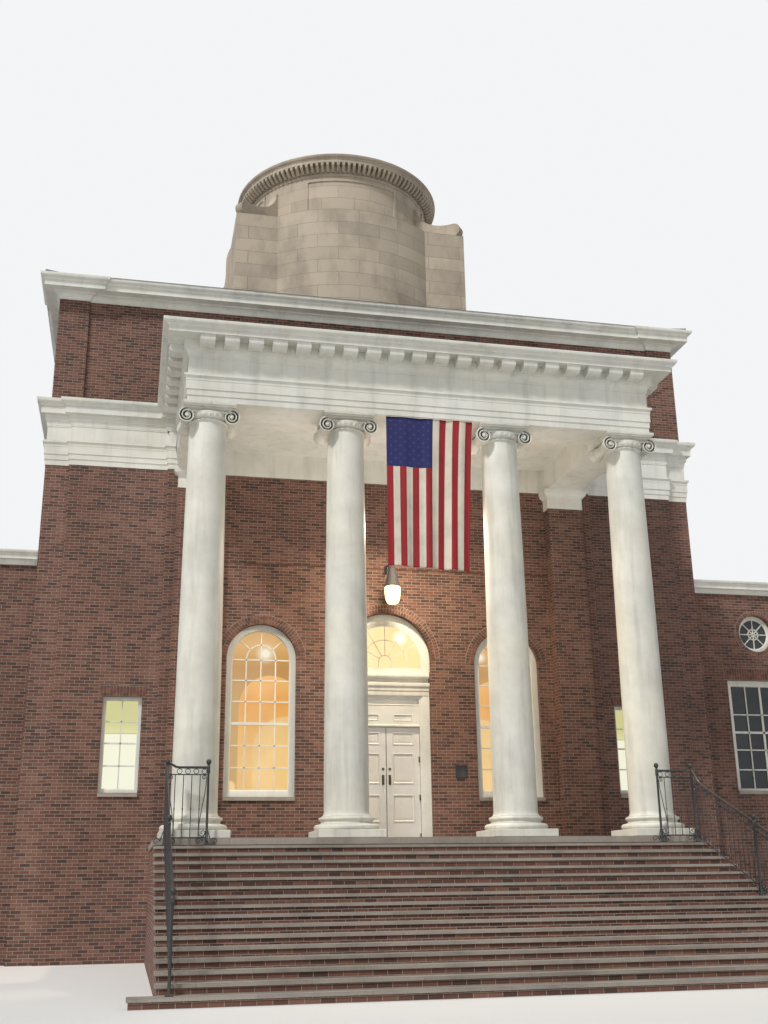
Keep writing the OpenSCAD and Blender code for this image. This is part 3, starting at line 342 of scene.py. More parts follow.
def repeat_tree():
    """Copies of a piece along a line, or round an arc where Radius isn't zero."""
    tree = bpy.data.node_groups.new("Repeated pieces", "GeometryNodeTree")
    for name, kind, default in (("Piece", "Object", None), ("Count", "Int", 4), ("Step", "Vector", (0.1, 0.0, 0.0)),
            ("Radius", "Float", 0.0), ("First angle", "Float", 0.0), ("Angle step", "Float", 0.1),
            ("Spread", "Float", 0.0), ("Seed", "Int", 3), ("Finish", "Material", None)):
        made = tree.interface.new_socket(name=name, in_out="INPUT", socket_type="NodeSocket" + kind)
        if default is not None:
            made.default_value = default
    tree.interface.new_socket(name="Geometry", in_out="OUTPUT", socket_type="NodeSocketGeometry")
    given = put(tree, "NodeGroupInput").outputs
    index = Value(tree, put(tree, "GeometryNodeInputIndex").outputs[0])
    radius, spread = Value(tree, given["Radius"]), Value(tree, given["Spread"])
    angle = index * given["Angle step"] + given["First angle"]
    line = put(tree, "GeometryNodeMeshLine", Count=given["Count"], Offset=given["Step"])
    spot = put(tree, "ShaderNodeCombineXYZ", radius * angle.cos(), radius * angle.sin())
    shift = put(tree, "GeometryNodeSetPosition", Geometry=line.outputs["Mesh"], Offset=spot.outputs[0])
    turn = put(tree, "ShaderNodeCombineXYZ", Z=angle)
    size = put(tree, "FunctionNodeRandomValue", data_type="FLOAT", Seed=given["Seed"])
    plug(tree, 1.0 - spread, size.inputs[2])
    plug(tree, 1.0 + spread, size.inputs[3])
    source = put(tree, "GeometryNodeObjectInfo", Object=given["Piece"])
    copies = put(tree, "GeometryNodeInstanceOnPoints", Points=shift.outputs["Geometry"],
        Instance=source.outputs["Geometry"], Rotation=turn.outputs[0], Scale=size.outputs[1])
    solid = put(tree, "GeometryNodeRealizeInstances", Geometry=copies.outputs["Instances"])
    paint = put(tree, "GeometryNodeSetMaterial", Geometry=solid.outputs["Geometry"], Material=given["Finish"])
    put(tree, "NodeGroupOutput", Geometry=paint.outputs["Geometry"])
    return tree


def repeated(shape, finish, **sizes):
    """The plain mesh of a shape repeated by the tree; sizes are its named inputs."""
    tree = bpy.data.node_groups.get("Repeated pieces") or repeat_tree()
    mesh = bpy.data.meshes.new("single piece")
    mesh.from_pydata(shape.points, [], shape.faces)
    single = bpy.data.objects.new("single piece", mesh)
    holder = bpy.data.objects.new("repeated holder", bpy.data.meshes.new("repeated holder"))
    bpy.context.scene.collection.objects.link(holder)
    grow = holder.modifiers.new("Repeat", "NODES")
    grow.node_group = tree
    sizes = {"Piece": single, "Finish": finish, **{k.replace("_", " "): v for k, v in sizes.items()}}
    keys = {s.name: s.identifier for s in tree.interface.items_tree if s.in_out == "INPUT"}
    for name, value in sizes.items():
        grow[keys[name]] = value
    bpy.context.view_layer.update()
    result = bpy.data.meshes.new_from_object(holder.evaluated_get(bpy.context.evaluated_depsgraph_get()))
    if not result.vertices:
        raise RuntimeError("the repeated pieces came out empty")
    holder.modifiers.remove(grow)
    bpy.data.objects.remove(holder)
    bpy.data.objects.remove(single)
    return result


def in_line(shape, finish, count, step):
    """Copies along a line."""
    return repeated(shape, finish, Count=count, Step=step, Angle_step=0.0)


def around(shape, finish, count, radius, first=0.0, sweep=math.tau):
    """Copies round a circle, or round the part of it that the sweep covers."""
    return repeated(shape, finish, Count=count, Step=(0, 0, 0), Radius=radius, First_angle=first,
        Angle_step=sweep / count)


# ---- Finishes

BRONZE = (0.075, 0.054, 0.036)
HINGE_HEIGHTS = (0.170, 0.985, 1.800)


def shade(rgb, factor):
    """A colour made darker or lighter."""
    return tuple(min(1.0, c * factor) for c in rgb[:3])


class Finish:
    """A new material, with the place on the object and the nodes that finishes share."""

    def __init__(self, name, roughness, metallic=0.0, coat=0.0):
        self.material = bpy.data.materials.new(name)
        self.material.use_nodes = True
        self.tree = self.material.node_tree
        self.tree.nodes.clear()
        self.skin = self.put("ShaderNodeBsdfPrincipled", Roughness=roughness, Metallic=metallic, Coat_Weight=coat)
        self.put("ShaderNodeOutputMaterial", self.skin.outputs[0])
        self.place = self.put("ShaderNodeTexCoord").outputs["Object"]
        self.x, self.y, self.z = self.split(self.place)

    def put(self, kind, *values, **named):
        return put(self.tree, kind, *values, **named)

    def split(self, vector):
        return [Value(self.tree, part) for part in self.put("ShaderNodeSeparateXYZ", vector).outputs]

    def facing(self):
        """The parts of the direction that the surface faces."""
        return self.split(self.put("ShaderNodeNewGeometry").outputs["Normal"])

    def plane(self, across, up):
        return self.put("ShaderNodeCombineXYZ", across, up, 0.0).outputs[0]

    def wall_plane(self):
        """Distance along a wall and height up it, whichever way the wall faces."""
        facing = self.facing()
        side, flat = abs(facing[0]) > 0.72, abs(facing[2]) > 0.72
        return self.plane(self.either(side, self.x, self.y), self.either(flat, self.z, self.y))

    def either(self, factor, a, b):
        """One number where the factor is 0, the other where it is 1."""
        node = self.put("ShaderNodeMix", factor)
        plug(self.tree, a, node.inputs[2])
        plug(self.tree, b, node.inputs[3])
        return Value(self.tree, node.outputs[0])

    def blend(self, factor, a, b, way="MIX"):
        """One colour where the factor is 0, the other where it is 1."""
        node = self.put("ShaderNodeMix", factor, data_type="RGBA", blend_type=way)
        plug(self.tree, a, node.inputs[6])
        plug(self.tree, b, node.inputs[7])
        return Value(self.tree, node.outputs[2])

    def tint(self, base, tone, share=1.0):
        """A colour multiplied by another."""
        return self.blend(share, base, tone, "MULTIPLY")

    def ramp(self, factor, *stops):
        """A tone that runs between stops of (place, colour or grey)."""
        node = self.put("ShaderNodeValToRGB", factor)
        marks = node.color_ramp.elements
        while len(marks) < len(stops):
            marks.new(0.5)
        for mark, (place, tone) in zip(marks, stops):
            mark.position = place
            mark.color = colour(tone if hasattr(tone, "__len__") else (tone, tone, tone))
        return Value(self.tree, node.outputs[0])

    def noise(self, scale, detail=4.0, rough=0.55, squash=None):
        """Cloudy noise from 0 to 1; a squash under 1 draws it out upwards."""
        place = self.place
        if squash:
            place = self.put("ShaderNodeMapping", Vector=place, Scale=(1.0, 1.0, squash)).outputs[0]
        node = self.put("ShaderNodeTexNoise", Vector=place, Scale=scale, Detail=detail, Roughness=rough)
        return Value(self.tree, node.outputs[0])

    def courses(self, plane, greys, joint, smooth, width, height):
        """Blocks in courses: a tone for each block, and 1 where the joints are."""
        first, second, mortar = ((grey, grey, grey) for grey in greys)
        found = self.put("ShaderNodeTexBrick", Vector=plane, Color1=first, Color2=second, Mortar=mortar, Scale=1.0,
            Mortar_Size=joint, Mortar_Smooth=smooth, Bias=0.0, Brick_Width=width, Row_Height=height, offset=0.5).outputs
        return found["Color"], found["Fac"]

    def give(self, **named):
        for name, value in named.items():
            plug(self.tree, value, self.skin.inputs[name.replace("_", " ")])

    def done(self, base, height, distance, strength=1.0):
        """Colours the skin, raises it by the height, and hands over the material."""
        bump = self.put("ShaderNodeBump", Strength=strength, Distance=distance, Height=height)
        self.give(Base_Color=base, Normal=bump.outputs[0])
        return self.material


def brick_finish(name="Brickwork", single=False):
    """Courses of bricks of mixed burning; single bricks take their tone from where they lie."""
    s = setting("th_brick")
    f = Finish(name, 0.86)
    grain = f.noise(55.0, 6.0)

    def burnt(tone):
        brick = f.ramp(tone, (0.0, s.dark), (0.22, shade(s.red, 0.72)), (0.45, s.red), (0.72, shade(s.red, 1.18)),
            (1.0, s.light))
        return f.tint(brick, f.ramp(grain, (0.3, 0.35), (0.7, 1.1)), 0.35)

    if single:
        cell = f.put("ShaderNodeTexVoronoi", Vector=f.place, Scale=11.0).outputs["Color"]
        return f.done(burnt(f.put("ShaderNodeSeparateColor", cell).outputs[0]), grain, 0.003)
    tone, seam = f.courses(f.wall_plane(), (0.0, 1.0, 0.5), s.joint / 2, 0.25, s.length, s.course)
    wall = f.blend(seam, burnt(tone), f.blend(f.noise(9.0), shade(s.mortar, 0.8), shade(s.mortar, 1.15)))
    # A dark line, 122 courses up and darker in patches, runs right across the wall behind the columns
    dark = f.ramp(abs(f.z - 122 * s.course) * 10.0, (0.11, 1.0), (0.20, 0.0))
    dark = dark * ((abs(f.y - WALL) < 0.01) * (abs(f.x) < 5.2)) * f.ramp(f.noise(3.0), (0.30, 0.45), (0.60, 0.95))
    wall = f.blend(dark, wall, shade(s.dark, 0.55))
    stain = f.ramp(f.noise(0.45, 5.0, 0.6, 0.55), (0.3, 0.74), (0.5, 1.0), (0.75, 1.06))
    return f.done(f.tint(wall, stain), grain * 0.35 - seam, 0.006)


def paint_finish(name, rgb, roughness=0.48, streaks=0.16):
    """Brushed oil paint, rain streaks and a little dust in it."""
    f = Finish(name, roughness)
    dust = f.ramp(f.noise(1.3, 6.0, 0.62), (0.30, 1.0 - streaks), (0.62, 1.0))
    rain = f.ramp(f.noise(5.0, 5.0, 0.6, 0.09), (0.28, 1.0 - streaks), (0.50, 1.0))
    aged = (rgb[0], rgb[1] * 0.975, rgb[2] * 0.91)
    paint = f.blend(f.ramp(f.noise(0.6), (0.35, 0.0), (0.7, 1.0)), rgb, aged)
    brush = f.noise(120.0, 3.0, 0.5, 0.12)
    f.give(Roughness=f.ramp(brush, (0.3, roughness - 0.07), (0.7, roughness + 0.12)))
    return f.done(f.tint(f.tint(paint, dust), rain), brush, 0.0012)


def stone_finish(name, rgb, block, joint, speckle, drum=None):
    """Dressed stone with speckles and damp stains, in courses along a wall or round a drum of (y, radius)."""
    f = Finish(name, 0.78)
    plane = f.plane((f.y - drum[0]).atan2(f.x) * drum[1], f.z) if drum else f.wall_plane()
    tone, seam = f.courses(plane, (0.25, 0.8, 0.2), joint / 2, 0.2, *block)
    stone = f.ramp(tone, (0.0, shade(rgb, 0.78)), (0.5, rgb), (1.0, shade(rgb, 1.15)))
    grit = f.noise(160.0, 4.0, 0.7)
    stone = f.tint(stone, f.ramp(grit, (0.34, 0.25), (0.52, 1.0), (0.72, 1.3)), speckle)
    stone = f.tint(stone, f.ramp(f.noise(1.1, 6.0, 0.65, 0.5), (0.3, 0.66), (0.55, 1.0)))
    return f.done(f.blend(seam, stone, shade(rgb, 0.45)), grit * 0.3 - seam, 0.004)


def iron_finish(name, rgb, roughness, coat):
    """Wrought iron with a little rust."""
    f = Finish(name, roughness, 0.0, coat)
    rust = f.ramp(f.noise(14.0, 6.0, 0.7), (0.60, 0.0), (0.74, 0.7))
    return f.done(f.blend(rust, rgb, (0.10, 0.035, 0.015)), f.noise(90.0), 0.002)


def slate_finish(rgb):
    """Slates in courses up a slope, each a little different."""
    f = Finish("Slate", 0.62)
    facing = f.facing()
    side = abs(facing[0]) > abs(facing[1])
    plane = f.plane(f.either(side, f.x, f.y), f.either(side, f.y, f.x))
    tone, seam = f.courses(plane, (0.0, 1.0, 0.1), 0.003, 0.3, 0.26, 0.19)
    tone = f.ramp(tone, (0.0, shade(rgb, 0.65)), (0.5, rgb), (0.85, shade(rgb, 1.4)),
        (1.0, (rgb[0] * 1.5, rgb[1] * 1.25, rgb[2] * 1.15)))
    lichen = f.ramp(f.noise(3.0, 7.0, 0.7), (0.62, 0.0), (0.75, 0.45))
    tone = f.blend(lichen, tone, (0.20, 0.20, 0.14))
    return f.done(f.blend(seam, tone, shade(rgb, 0.3)), f.noise(40.0) - seam, 0.005)


def metal_roof_finish(rgb):
    """Weathered sheet metal, clouded and a little uneven."""
    f = Finish("Dome metal", 0.55, 0.35)
    tone = f.ramp(f.noise(1.6, 7.0, 0.65), (0.3, shade(rgb, 0.7)), (0.5, rgb), (0.72, shade(rgb, 1.45)))
    return f.done(tone, f.noise(7.0), 0.006)


def lit_finish():
    """Panes that glow with the painted light of warm lit rooms behind them on the front, and show dark rooms elsewhere.
    """
    s = setting("th_glazing")
    f = Finish("Window glass", 0.08)
    across, high, on_right = abs(f.x), f.z - FLOOR, f.x > 0.0
    cloud = f.noise(1.1, 3.0, 0.5, 0.8)

    def far(x, z, flat=False):
        """Distance to a point; with flat set, everything under the point counts as level with it."""
        dx, dz = across - x, high - z
        if flat:
            dz = dz.most(0.0)
        return (dx * dx + dz * dz).root()

    def opening(base, x, z, radius, edge, beyond):
        """A round-headed opening with a lighter room beyond it."""
        return f.blend(f.ramp(far(x, z, True), (radius, 1.0), (edge, 0.0)), base, beyond)

    def lamp(x, z, core, halo, edge):
        return f.ramp(far(x, z), (core, 1.0), (halo, 0.55), (edge, 0.0))

    # Arched windows, in painted light: a darker ceiling over a lit opening, with bright lamps and their painted glare
    # in front
    ceiling = f.ramp((high - 3.0) * 0.6, (0.0, shade(s.warm, 0.62)), (0.45, (0.58, 0.29, 0.07)),
        (0.75, (0.80, 0.46, 0.15)), (1.0, (0.64, 0.38, 0.14)))
    hall = f.ramp((high - 0.9) * 0.39, (0.0, (1.0, 0.58, 0.17)), (0.30, (1.0, 0.62, 0.22)), (0.55, (1.0, 0.53, 0.14)),
        (0.80, (0.98, 0.45, 0.09)), (1.0, (1.0, 0.53, 0.16)))
    hall = opening(hall, 2.20, 1.95, 0.725, 0.745, (1.0, 0.65, 0.25))
    hall = f.tint(hall, f.ramp(cloud, (0.30, 0.82), (0.55, 1.0)))
    room = opening(ceiling, 2.56, 2.88, 0.680, 0.700, hall)
    room = opening(room, 3.40, 1.2, 0.10, 0.14, (1.0, 0.66, 0.26))
    room = f.blend(lamp(2.69, 4.055, 0.07, 0.11, 0.24), room, (1.0, 0.93, 0.72))
    room = f.blend(lamp(2.22, 4.10, 0.05, 0.08, 0.16) * on_right, room, (1.0, 0.93, 0.72))
    # Small windows: a blind over a brighter gap
    blind = f.ramp(f.z - (FLOOR + 1.5), (0.0, (1.0, 1.0, 0.78)), (0.755, (1.0, 0.99, 0.74)),
        (0.765, (0.45, 0.42, 0.16)), (0.785, (0.80, 0.78, 0.36)), (1.0, (0.68, 0.66, 0.28)))
    glow = f.blend(across > 5.0, room, blind)
    # Fanlight: an evenly lit hall with one lamp
    fan = across < 1.2
    hall = f.ramp(cloud, (0.35, (1.0, 0.66, 0.29)), (0.65, (1.0, 0.74, 0.38)))
    hall = f.blend(lamp(0.355, 4.50, 0.05, 0.09, 0.20) * on_right, hall, (1.0, 1.0, 0.92))
    front = (f.y < WALL + 0.5) * (across < 7.0)
    glow = f.blend(front, (0.0, 0.0, 0.0), f.blend(fan, glow, hall))
    # The glass itself glows with this painted light; there is no lamp behind it
    f.give(Emission_Color=glow, Emission_Strength=fan * 0.30 + s.glow)
    pane = f.noise(2.2, 2.0)
    return f.done(f.ramp(pane, (0.3, (0.012, 0.015, 0.018)), (0.7, (0.030, 0.034, 0.036))), pane, 0.01, 0.3)


def globe_finish():
    """Amber glass with a light inside."""
    f = Finish("Lantern glass", 0.25)
    ripple = f.noise(16.0, 3.0)
    f.give(Emission_Color=f.ramp(ripple, (0.3, (1.0, 0.72, 0.26)), (0.7, (1.0, 0.84, 0.44))), Emission_Strength=3.4)
    return f.done(f.ramp(ripple, (0.3, (0.80, 0.60, 0.30)), (0.7, (0.90, 0.76, 0.48))), ripple, 0.004)


def floor_finish():
    """Polished floor tiles inside."""
    f = Finish("Floor stone", 0.35)
    check = f.put("ShaderNodeTexChecker", Vector=f.place, Color1=(0.42, 0.37, 0.30), Color2=(0.24, 0.19, 0.15),
        Scale=2.0).outputs[0]
    return f.done(f.tint(check, f.ramp(f.noise(30.0), (0.3, 0.4), (0.7, 1.2)), 0.3), f.noise(3.0), 0.002)


def door_finish(rgb):
    """Satin paint on the leaves, with dark bronze on the pulls and the hinges."""
    f = Finish("Door paint", 0.38)
    metal = f.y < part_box("door_leaf_left")[1].y - 0.0555
    paint = f.tint(rgb, f.ramp(f.noise(2.4, 6.0, 0.6), (0.30, 0.86), (0.6, 1.0)))
    return f.done(f.blend(metal, paint, BRONZE), f.noise(140.0, 3.0, 0.5, 0.08), 0.0010)


def door_frame_finish(rgb):
    """White paint, with a stone threshold and dark hinge pins."""
    f = Finish("Door casing paint", 0.46)
    width = abs(f.x)
    foot, middle, head = (abs(f.z - (FLOOR + height)) < 0.065 for height in HINGE_HEIGHTS)
    pin = (width > 0.722) * (width < 0.7595) * (f.y < WALL + 0.189) * foot.most(middle.most(head))
    paint = f.tint(rgb, f.ramp(f.noise(1.9, 6.0, 0.6), (0.30, 0.84), (0.6, 1.0)))
    stone = f.ramp(f.noise(90.0, 5.0), (0.35, (0.16, 0.14, 0.12)), (0.65, (0.40, 0.36, 0.31)))
    tone = f.blend(f.z < FLOOR + 0.021, paint, stone)
    return f.done(f.blend(pin, tone, BRONZE), f.noise(140.0, 3.0, 0.5, 0.08), 0.0010)


def flag_finish():
    """Woven nylon, striped along its length, with small stars on the blue corner."""
    s = setting("th_flag")
    f = Finish("Flag cloth", 0.72)
    uv = f.put("ShaderNodeUVMap", uv_map="cut").outputs[0]
    u, v = f.split(uv)[:2]
    cloth = f.blend(math.floor(u * float(s.stripes)) % 2.0, s.red, (0.70, 0.63, 0.52))
    wide, tall = (s.stripes // 2 + 1) / s.stripes, 1.05
    corner = (u < wide) * (v > 1.0 - tall / s.length)
    # Five-pointed stars in staggered rows, on every second place of a grid
    columns, rows = 10, 12
    i, j = u * (columns / wide), (1.0 - v) * (rows * s.length / tall)
    place_i, place_j = round(i), round(j)
    dx, dy = (i - place_i) * (wide * s.width / columns), (j - place_j) * (tall / rows)
    reach = (dx.atan2(0.0 - dy) * 5.0).cos() * 0.009 + 0.019
    star = ((dx * dx + dy * dy).root() < reach) * ((place_i + place_j) % 2.0 < 0.5)
    for place, count in ((place_i, columns), (place_j, rows)):
        star = star * (place > 0.5) * (place < count - 0.5)
    cloth = f.blend(corner, cloth, f.blend(star, s.blue, (0.040, 0.045, 0.150)))
    cloth = f.tint(cloth, f.ramp(f.noise(3.0, 5.0), (0.3, 0.82), (0.6, 1.0)))
    weave = f.put("ShaderNodeTexWave", Vector=uv, Scale=260.0, Distortion=1.5).outputs["Fac"]
    f.give(Sheen_Weight=0.06)
    return f.done(f.tint(cloth, f.ramp(weave, (0.0, 0.6), (1.0, 1.1)), 0.12), weave, 0.0008)


class TOWNHALL_OT_finishes(bpy.types.Operator):
    """Makes the finishes and gives them to the solids of the frame"""
    bl_idname = "townhall.finishes"
    bl_label = "Finishes"

    def execute(self, context):
        paint, stone = setting("th_paint"), setting("th_stone")
        FINISH.update(
            brick=brick_finish(),
            arch_brick=brick_finish("Arch bricks", True),
            white_paint=paint_finish("White paint", paint.white),
            column_paint=paint_finish("Column paint", paint.column, 0.5, 0.20),
            granite=stone_finish("Granite", stone.granite, (1.5, 0.13), 0.004, 0.45),
            limestone=stone_finish("Limestone", stone.limestone, (0.95, 0.40), 0.006, 0.22, (DRUM_Y, DRUM_R)),
            iron=iron_finish("Black iron", paint.iron, 0.42, 0.25),
            lantern_metal=iron_finish("Lantern metal", (0.016, 0.015, 0.018), 0.78, 0.0),
            roofing=slate_finish(stone.slate),
            dome_metal=metal_roof_finish(stone.metal),
            glass=lit_finish(),
            floor_stone=floor_finish(),
            door_paint=door_finish(paint.door),
            leaf_paint=paint_finish("Leaf paint", paint.door, 0.40, 0.12),
            door_casing=door_frame_finish(paint.white),
            cloth=flag_finish(),
            globe=globe_finish(),
            mortar=stone_finish("Mortar", setting("th_brick").mortar, (0.9, 0.3), 0.0, 0.3))
        slots = {p["node"]: p["material_slot"] for p in frame["record"]["subparts"]}
        for name, node in frame["nodes"].items():
            node.data.materials.clear()
            node.data.materials.append(FINISH["door_casing" if name == "door_frame" else slots[name]])
        return {"FINISHED"}


# ---- Columns and capitals

FOOT_R, NECK_R = 0.412, 0.360  # Radii of a column shaft


def bulge(r, z0, height, n=10):
    """Half-round moulding standing out from radius r."""
    turns = [math.pi * (i / n - 0.5) for i in range(n + 1)]
    return [(r + height / 2 * math.cos(a), z0 + height / 2 * (1 + math.sin(a))) for a in turns]


def egg():
    """One egg in its shell, point down, standing out along +X."""
    n, rings = 10, 6
    shape = Shape()
    rows = []
    for k in range(rings + 1):
        t = math.pi * k / rings
        r, z = 0.030 * math.sin(t) * (1.0 + 0.18 * math.cos(t)), 0.047 * math.cos(t)
        rows.append([(0.9 * r * math.cos(a), r * math.sin(a), z) for a in angles(n)])
    shape.rings(rows[1:-1])
    turns = [math.pi * (1 + i / 12) for i in range(13)]
    return shape.torus_line([(0.004, 0.043 * math.cos(a), 0.045 + 0.098 * math.sin(a)) for a in turns], 0.0055, 5)


def dart():
    """One dart, point down, that stands between two eggs."""
    points = [(-0.004, -0.010, 0.042), (-0.004, 0.010, 0.042), (0.016, 0.0, 0.042), (0.002, 0.0, -0.056)]
    return Shape().add(points, [[0, 1, 2], [0, 2, 3], [2, 1, 3], [1, 0, 3]])


class TOWNHALL_OT_columns(bpy.types.Operator):
    """Turns the four column shafts on their moulded bases"""
    bl_idname = "townhall.columns"
    bl_label = "Columns"

    def execute(self, context):
        foot, neck, plinth, edge = FOOT_R, NECK_R, 0.135, 0.008
        for i, x in enumerate(COLUMN_X):
            node = "column_%d" % (i + 1)
            lo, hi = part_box(node)
            half, top = (hi.x - lo.x) / 2, hi.z - lo.z
            place = Matrix.Translation((x, COLUMN_LINE, lo.z))
            shape = Shape().rings([square(half - inset, z) for inset, z in
                ((edge, 0.0), (0.0, edge), (0.0, plinth - edge), (edge, plinth))], place)
            z = plinth
            profile = [(half - 0.08, z)] + bulge(half - 0.062, z, 0.105)
            profile += [(foot + 0.078, z + 0.105), (foot + 0.078, z + 0.118)]
            profile += [(foot + 0.074 - 0.024 * math.sin(math.pi * k / 10), z + 0.118 + 0.052 * k / 10)
                for k in range(1, 10)]
            profile += bulge(foot + 0.066, z + 0.172, 0.058)
            profile += [(foot + 0.044, z + 0.230), (foot + 0.044, z + 0.248)]
            profile += [(foot + 0.040 * (1 - out), z + 0.250 + 0.095 * up) for out, up in quarter()]
            start = z + 0.345
            profile += [(foot + (neck - foot) * (k / 16) ** 1.7, start + (top - start) * k / 16) for k in range(1, 17)]
            shape.lathe(profile, 80, place)
            shape.piece("column_shaft_%d" % (i + 1), "column_paint", replaces=[node])
        return {"FINISHED"}


# Sizes of a capital, with heights from the underside of the beams down
EYE_X, EYE_Z, SCROLL_Y = 0.426, -0.267, 0.372
SCROLL_R, SCROLL_PITCH, SCROLL_TURNS = 0.178, 0.062, 2.2


def scroll_radius(turn):
    return SCROLL_R - SCROLL_PITCH * turn


def volute(shape, s, front):
    """One scroll: a raised fillet winding in to the eye with a hollow channel beside it."""
    steps = int(44 * SCROLL_TURNS)
    rows = []
    for i in range(steps + 1):
        turn = SCROLL_TURNS * i / steps
        a = math.tau * turn
        edge = scroll_radius(turn)
        fillet = 0.024 * (1 - 0.40 * i / steps)
        inner = max(0.022, edge - SCROLL_PITCH)
        row = [(edge, 0.0), (edge, 0.030), (edge - 0.005, 0.036), (edge - fillet + 0.005, 0.036),
            (edge - fillet, 0.030)]
        wide = edge - fillet - inner
        row += [(edge - fillet - wide * k / 6, 0.026 - 0.046 * abs(math.sin(math.pi * k / 6)) ** 0.8)
            for k in range(1, 6)]
        row += [(inner, 0.026), (inner, 0.0)]
        rows.append([(s * (EYE_X + r * math.sin(a)), front * (SCROLL_Y + y), EYE_Z + r * math.cos(a))
            for r, y in row])
    shape.rings(rows)
    # The round eye in the middle
    eye = 0.040
    rows = [[(s * (EYE_X + eye * c * math.sin(a)), front * (SCROLL_Y + 0.014 + 0.028 * math.sqrt(1 - c * c)),
        EYE_Z + eye * c * math.cos(a)) for a in angles(20)] for c in (1.0, 0.92, 0.75, 0.5, 0.25, 0.02)]
    rows.insert(0, [(x, front * (SCROLL_Y - 0.02), z) for x, y, z in rows[0]])
    shape.rings(rows)


def side_roll(shape, s):
    """The waisted roll between a front and a rear scroll, bound in the middle."""
    n = 48
    rows = []
    for k in range(33):
        y = -1.0 + 2.0 * k / 32
        waist = 1.0 - 0.38 * abs(math.cos(y * math.pi / 2)) ** 1.15
        band = 0.012 if abs(y) < 0.05 else 0.008 if 0.09 < abs(y) < 0.16 else 0.0
        row = []
        for i in range(n):
            turn = i / n
            r = scroll_radius(turn) - 0.006
            if turn > 0.75:
                r += SCROLL_PITCH * turn * ((turn - 0.75) / 0.25) ** 2
            leaf = 0.004 * abs(math.sin(4.0 * math.tau * turn)) * (1.0 if abs(y) > 0.16 else 0.0)
            r = r * waist + band + leaf
            a = math.tau * turn
            row.append((s * (EYE_X + r * math.sin(a)), SCROLL_Y * y, EYE_Z + r * math.cos(a)))
        rows.append(row)
    shape.rings(rows)


def capital_shape():
    """An Ionic capital about its own axis, with z from the underside of the beams down."""
    shape = Shape()
    neck, low = NECK_R, -0.360
    profile = [(neck, low), (neck + 0.004, low + 0.004)] + bulge(neck + 0.006, low + 0.008, 0.046, 8)
    profile += [(neck + 0.008, low + 0.058)]
    profile += [(neck + 0.010 + 0.080 * out, low + 0.062 + 0.112 * up) for out, up in quarter()]
    profile += [(neck + 0.090, low + 0.190)]
    shape.lathe(profile, 72)
    for s in (-1, 1):
        side_roll(shape, s)
        for front in (-1, 1):
            volute(shape, s, front)
    # Channel between the two scrolls: deep, with a sagging lower lip
    for front in (-1, 1):
        rows = []
        for k in range(25):
            x = -EYE_X + 2 * EYE_X * k / 24
            sag = math.cos(math.pi * x / (2 * EYE_X)) ** 2
            top, lip = EYE_Z + SCROLL_R, EYE_Z + 0.102 - 0.028 * sag
            row = [(0.0, lip - 0.024), (0.030, lip - 0.024), (0.036, lip - 0.019), (0.036, lip - 0.005), (0.030, lip)]
            row += [(0.026 - 0.062 * abs(math.sin(math.pi * j / 6)) ** 0.7, lip + (top - 0.024 - lip) * j / 6)
                for j in range(1, 6)]
            row += [(0.030, top - 0.024), (0.036, top - 0.019), (0.036, top - 0.005), (0.030, top), (-0.08, top),
                (-0.08, lip - 0.024)]
            rows.append([(x, front * (SCROLL_Y + y), z) for y, z in row])
        shape.rings(rows)
    # Core behind the faces, and the abacus with its moulded edge
    shape.block((-EYE_X, -SCROLL_Y + 0.06, EYE_Z + 0.06), (EYE_X, SCROLL_Y - 0.06, EYE_Z + SCROLL_R))
    b = 0.505
    shape.rings([square(b - inset, z) for inset, z in ((0.036, EYE_Z + SCROLL_R - 0.002), (0.034, -0.084),
        (0.030, -0.077), (0.022, -0.070), (0.010, -0.066), (0.002, -0.060), (0.0, -0.055), (0.0, -0.004),
        (0.004, 0.0))])
    # Rosette in the middle of each face of the abacus
    for turn in range(4):
        face = Matrix.Rotation(math.tau * turn / 4, 4, "Z") @ Matrix.Translation((0, -b, -0.042))
        for x, z, size, proud in [*((0.024 * math.cos(a), 0.024 * math.sin(a), 0.015, 0) for a in angles(6)),
                (0.0, 0.0, 0.017, 0.006)]:
            rows = [[(x + size * c * math.cos(t), -0.014 * math.sqrt(1 - c * c) - proud, z + size * c * math.sin(t))
                for t in angles(10)] for c in (1.0, 0.8, 0.45, 0.05)]
            rows.insert(0, [(x, 0.004, z) for x, y, z in rows[0]])
            shape.rings(rows, face)
    return shape


class TOWNHALL_OT_capitals(bpy.types.Operator):
    """Carves the four Ionic capitals with their eggs, darts and beads"""
    bl_idname = "townhall.capitals"
    bl_label = "Capitals"

    def execute(self, context):
        carved, paint = capital_shape(), FINISH["column_paint"]
        bead = Shape().lathe([(0.0045, -0.0150), (0.0135, -0.009), (0.017, 0.0), (0.0135, 0.009), (0.0045, 0.0150)], 8)
        count, radius = 24, NECK_R + 0.066
        for mesh, z in ((around(egg(), paint, count, radius), -0.236),
                (around(dart(), paint, count, radius + 0.002, math.pi / count), -0.236),
                (around(bead, paint, 2 * count, NECK_R + 0.026), -0.329)):
            carved.take(mesh, Matrix.Translation((0, 0, z)))
        for i, x in enumerate(COLUMN_X):
            shape = Shape().add(carved.points, carved.faces, Matrix.Translation((x, COLUMN_LINE, COLUMN_TOP)))
            shape.piece("ionic_capital_%d" % (i + 1), "column_paint", replaces=["capital_%d" % (i + 1)])
        return {"FINISHED"}


# ---- Windows, fanlight and door

# Middles of the arched and the small windows of the main block, and heights of the ring windows and of the spring
# of the round heads in the solids, with the lift that the finished walls give these
ARCHED_X, SMALL_X, RING_Z, SPRING, HEAD_LIFT = 2.79, 5.70, 4.90, 3.83, 0.09


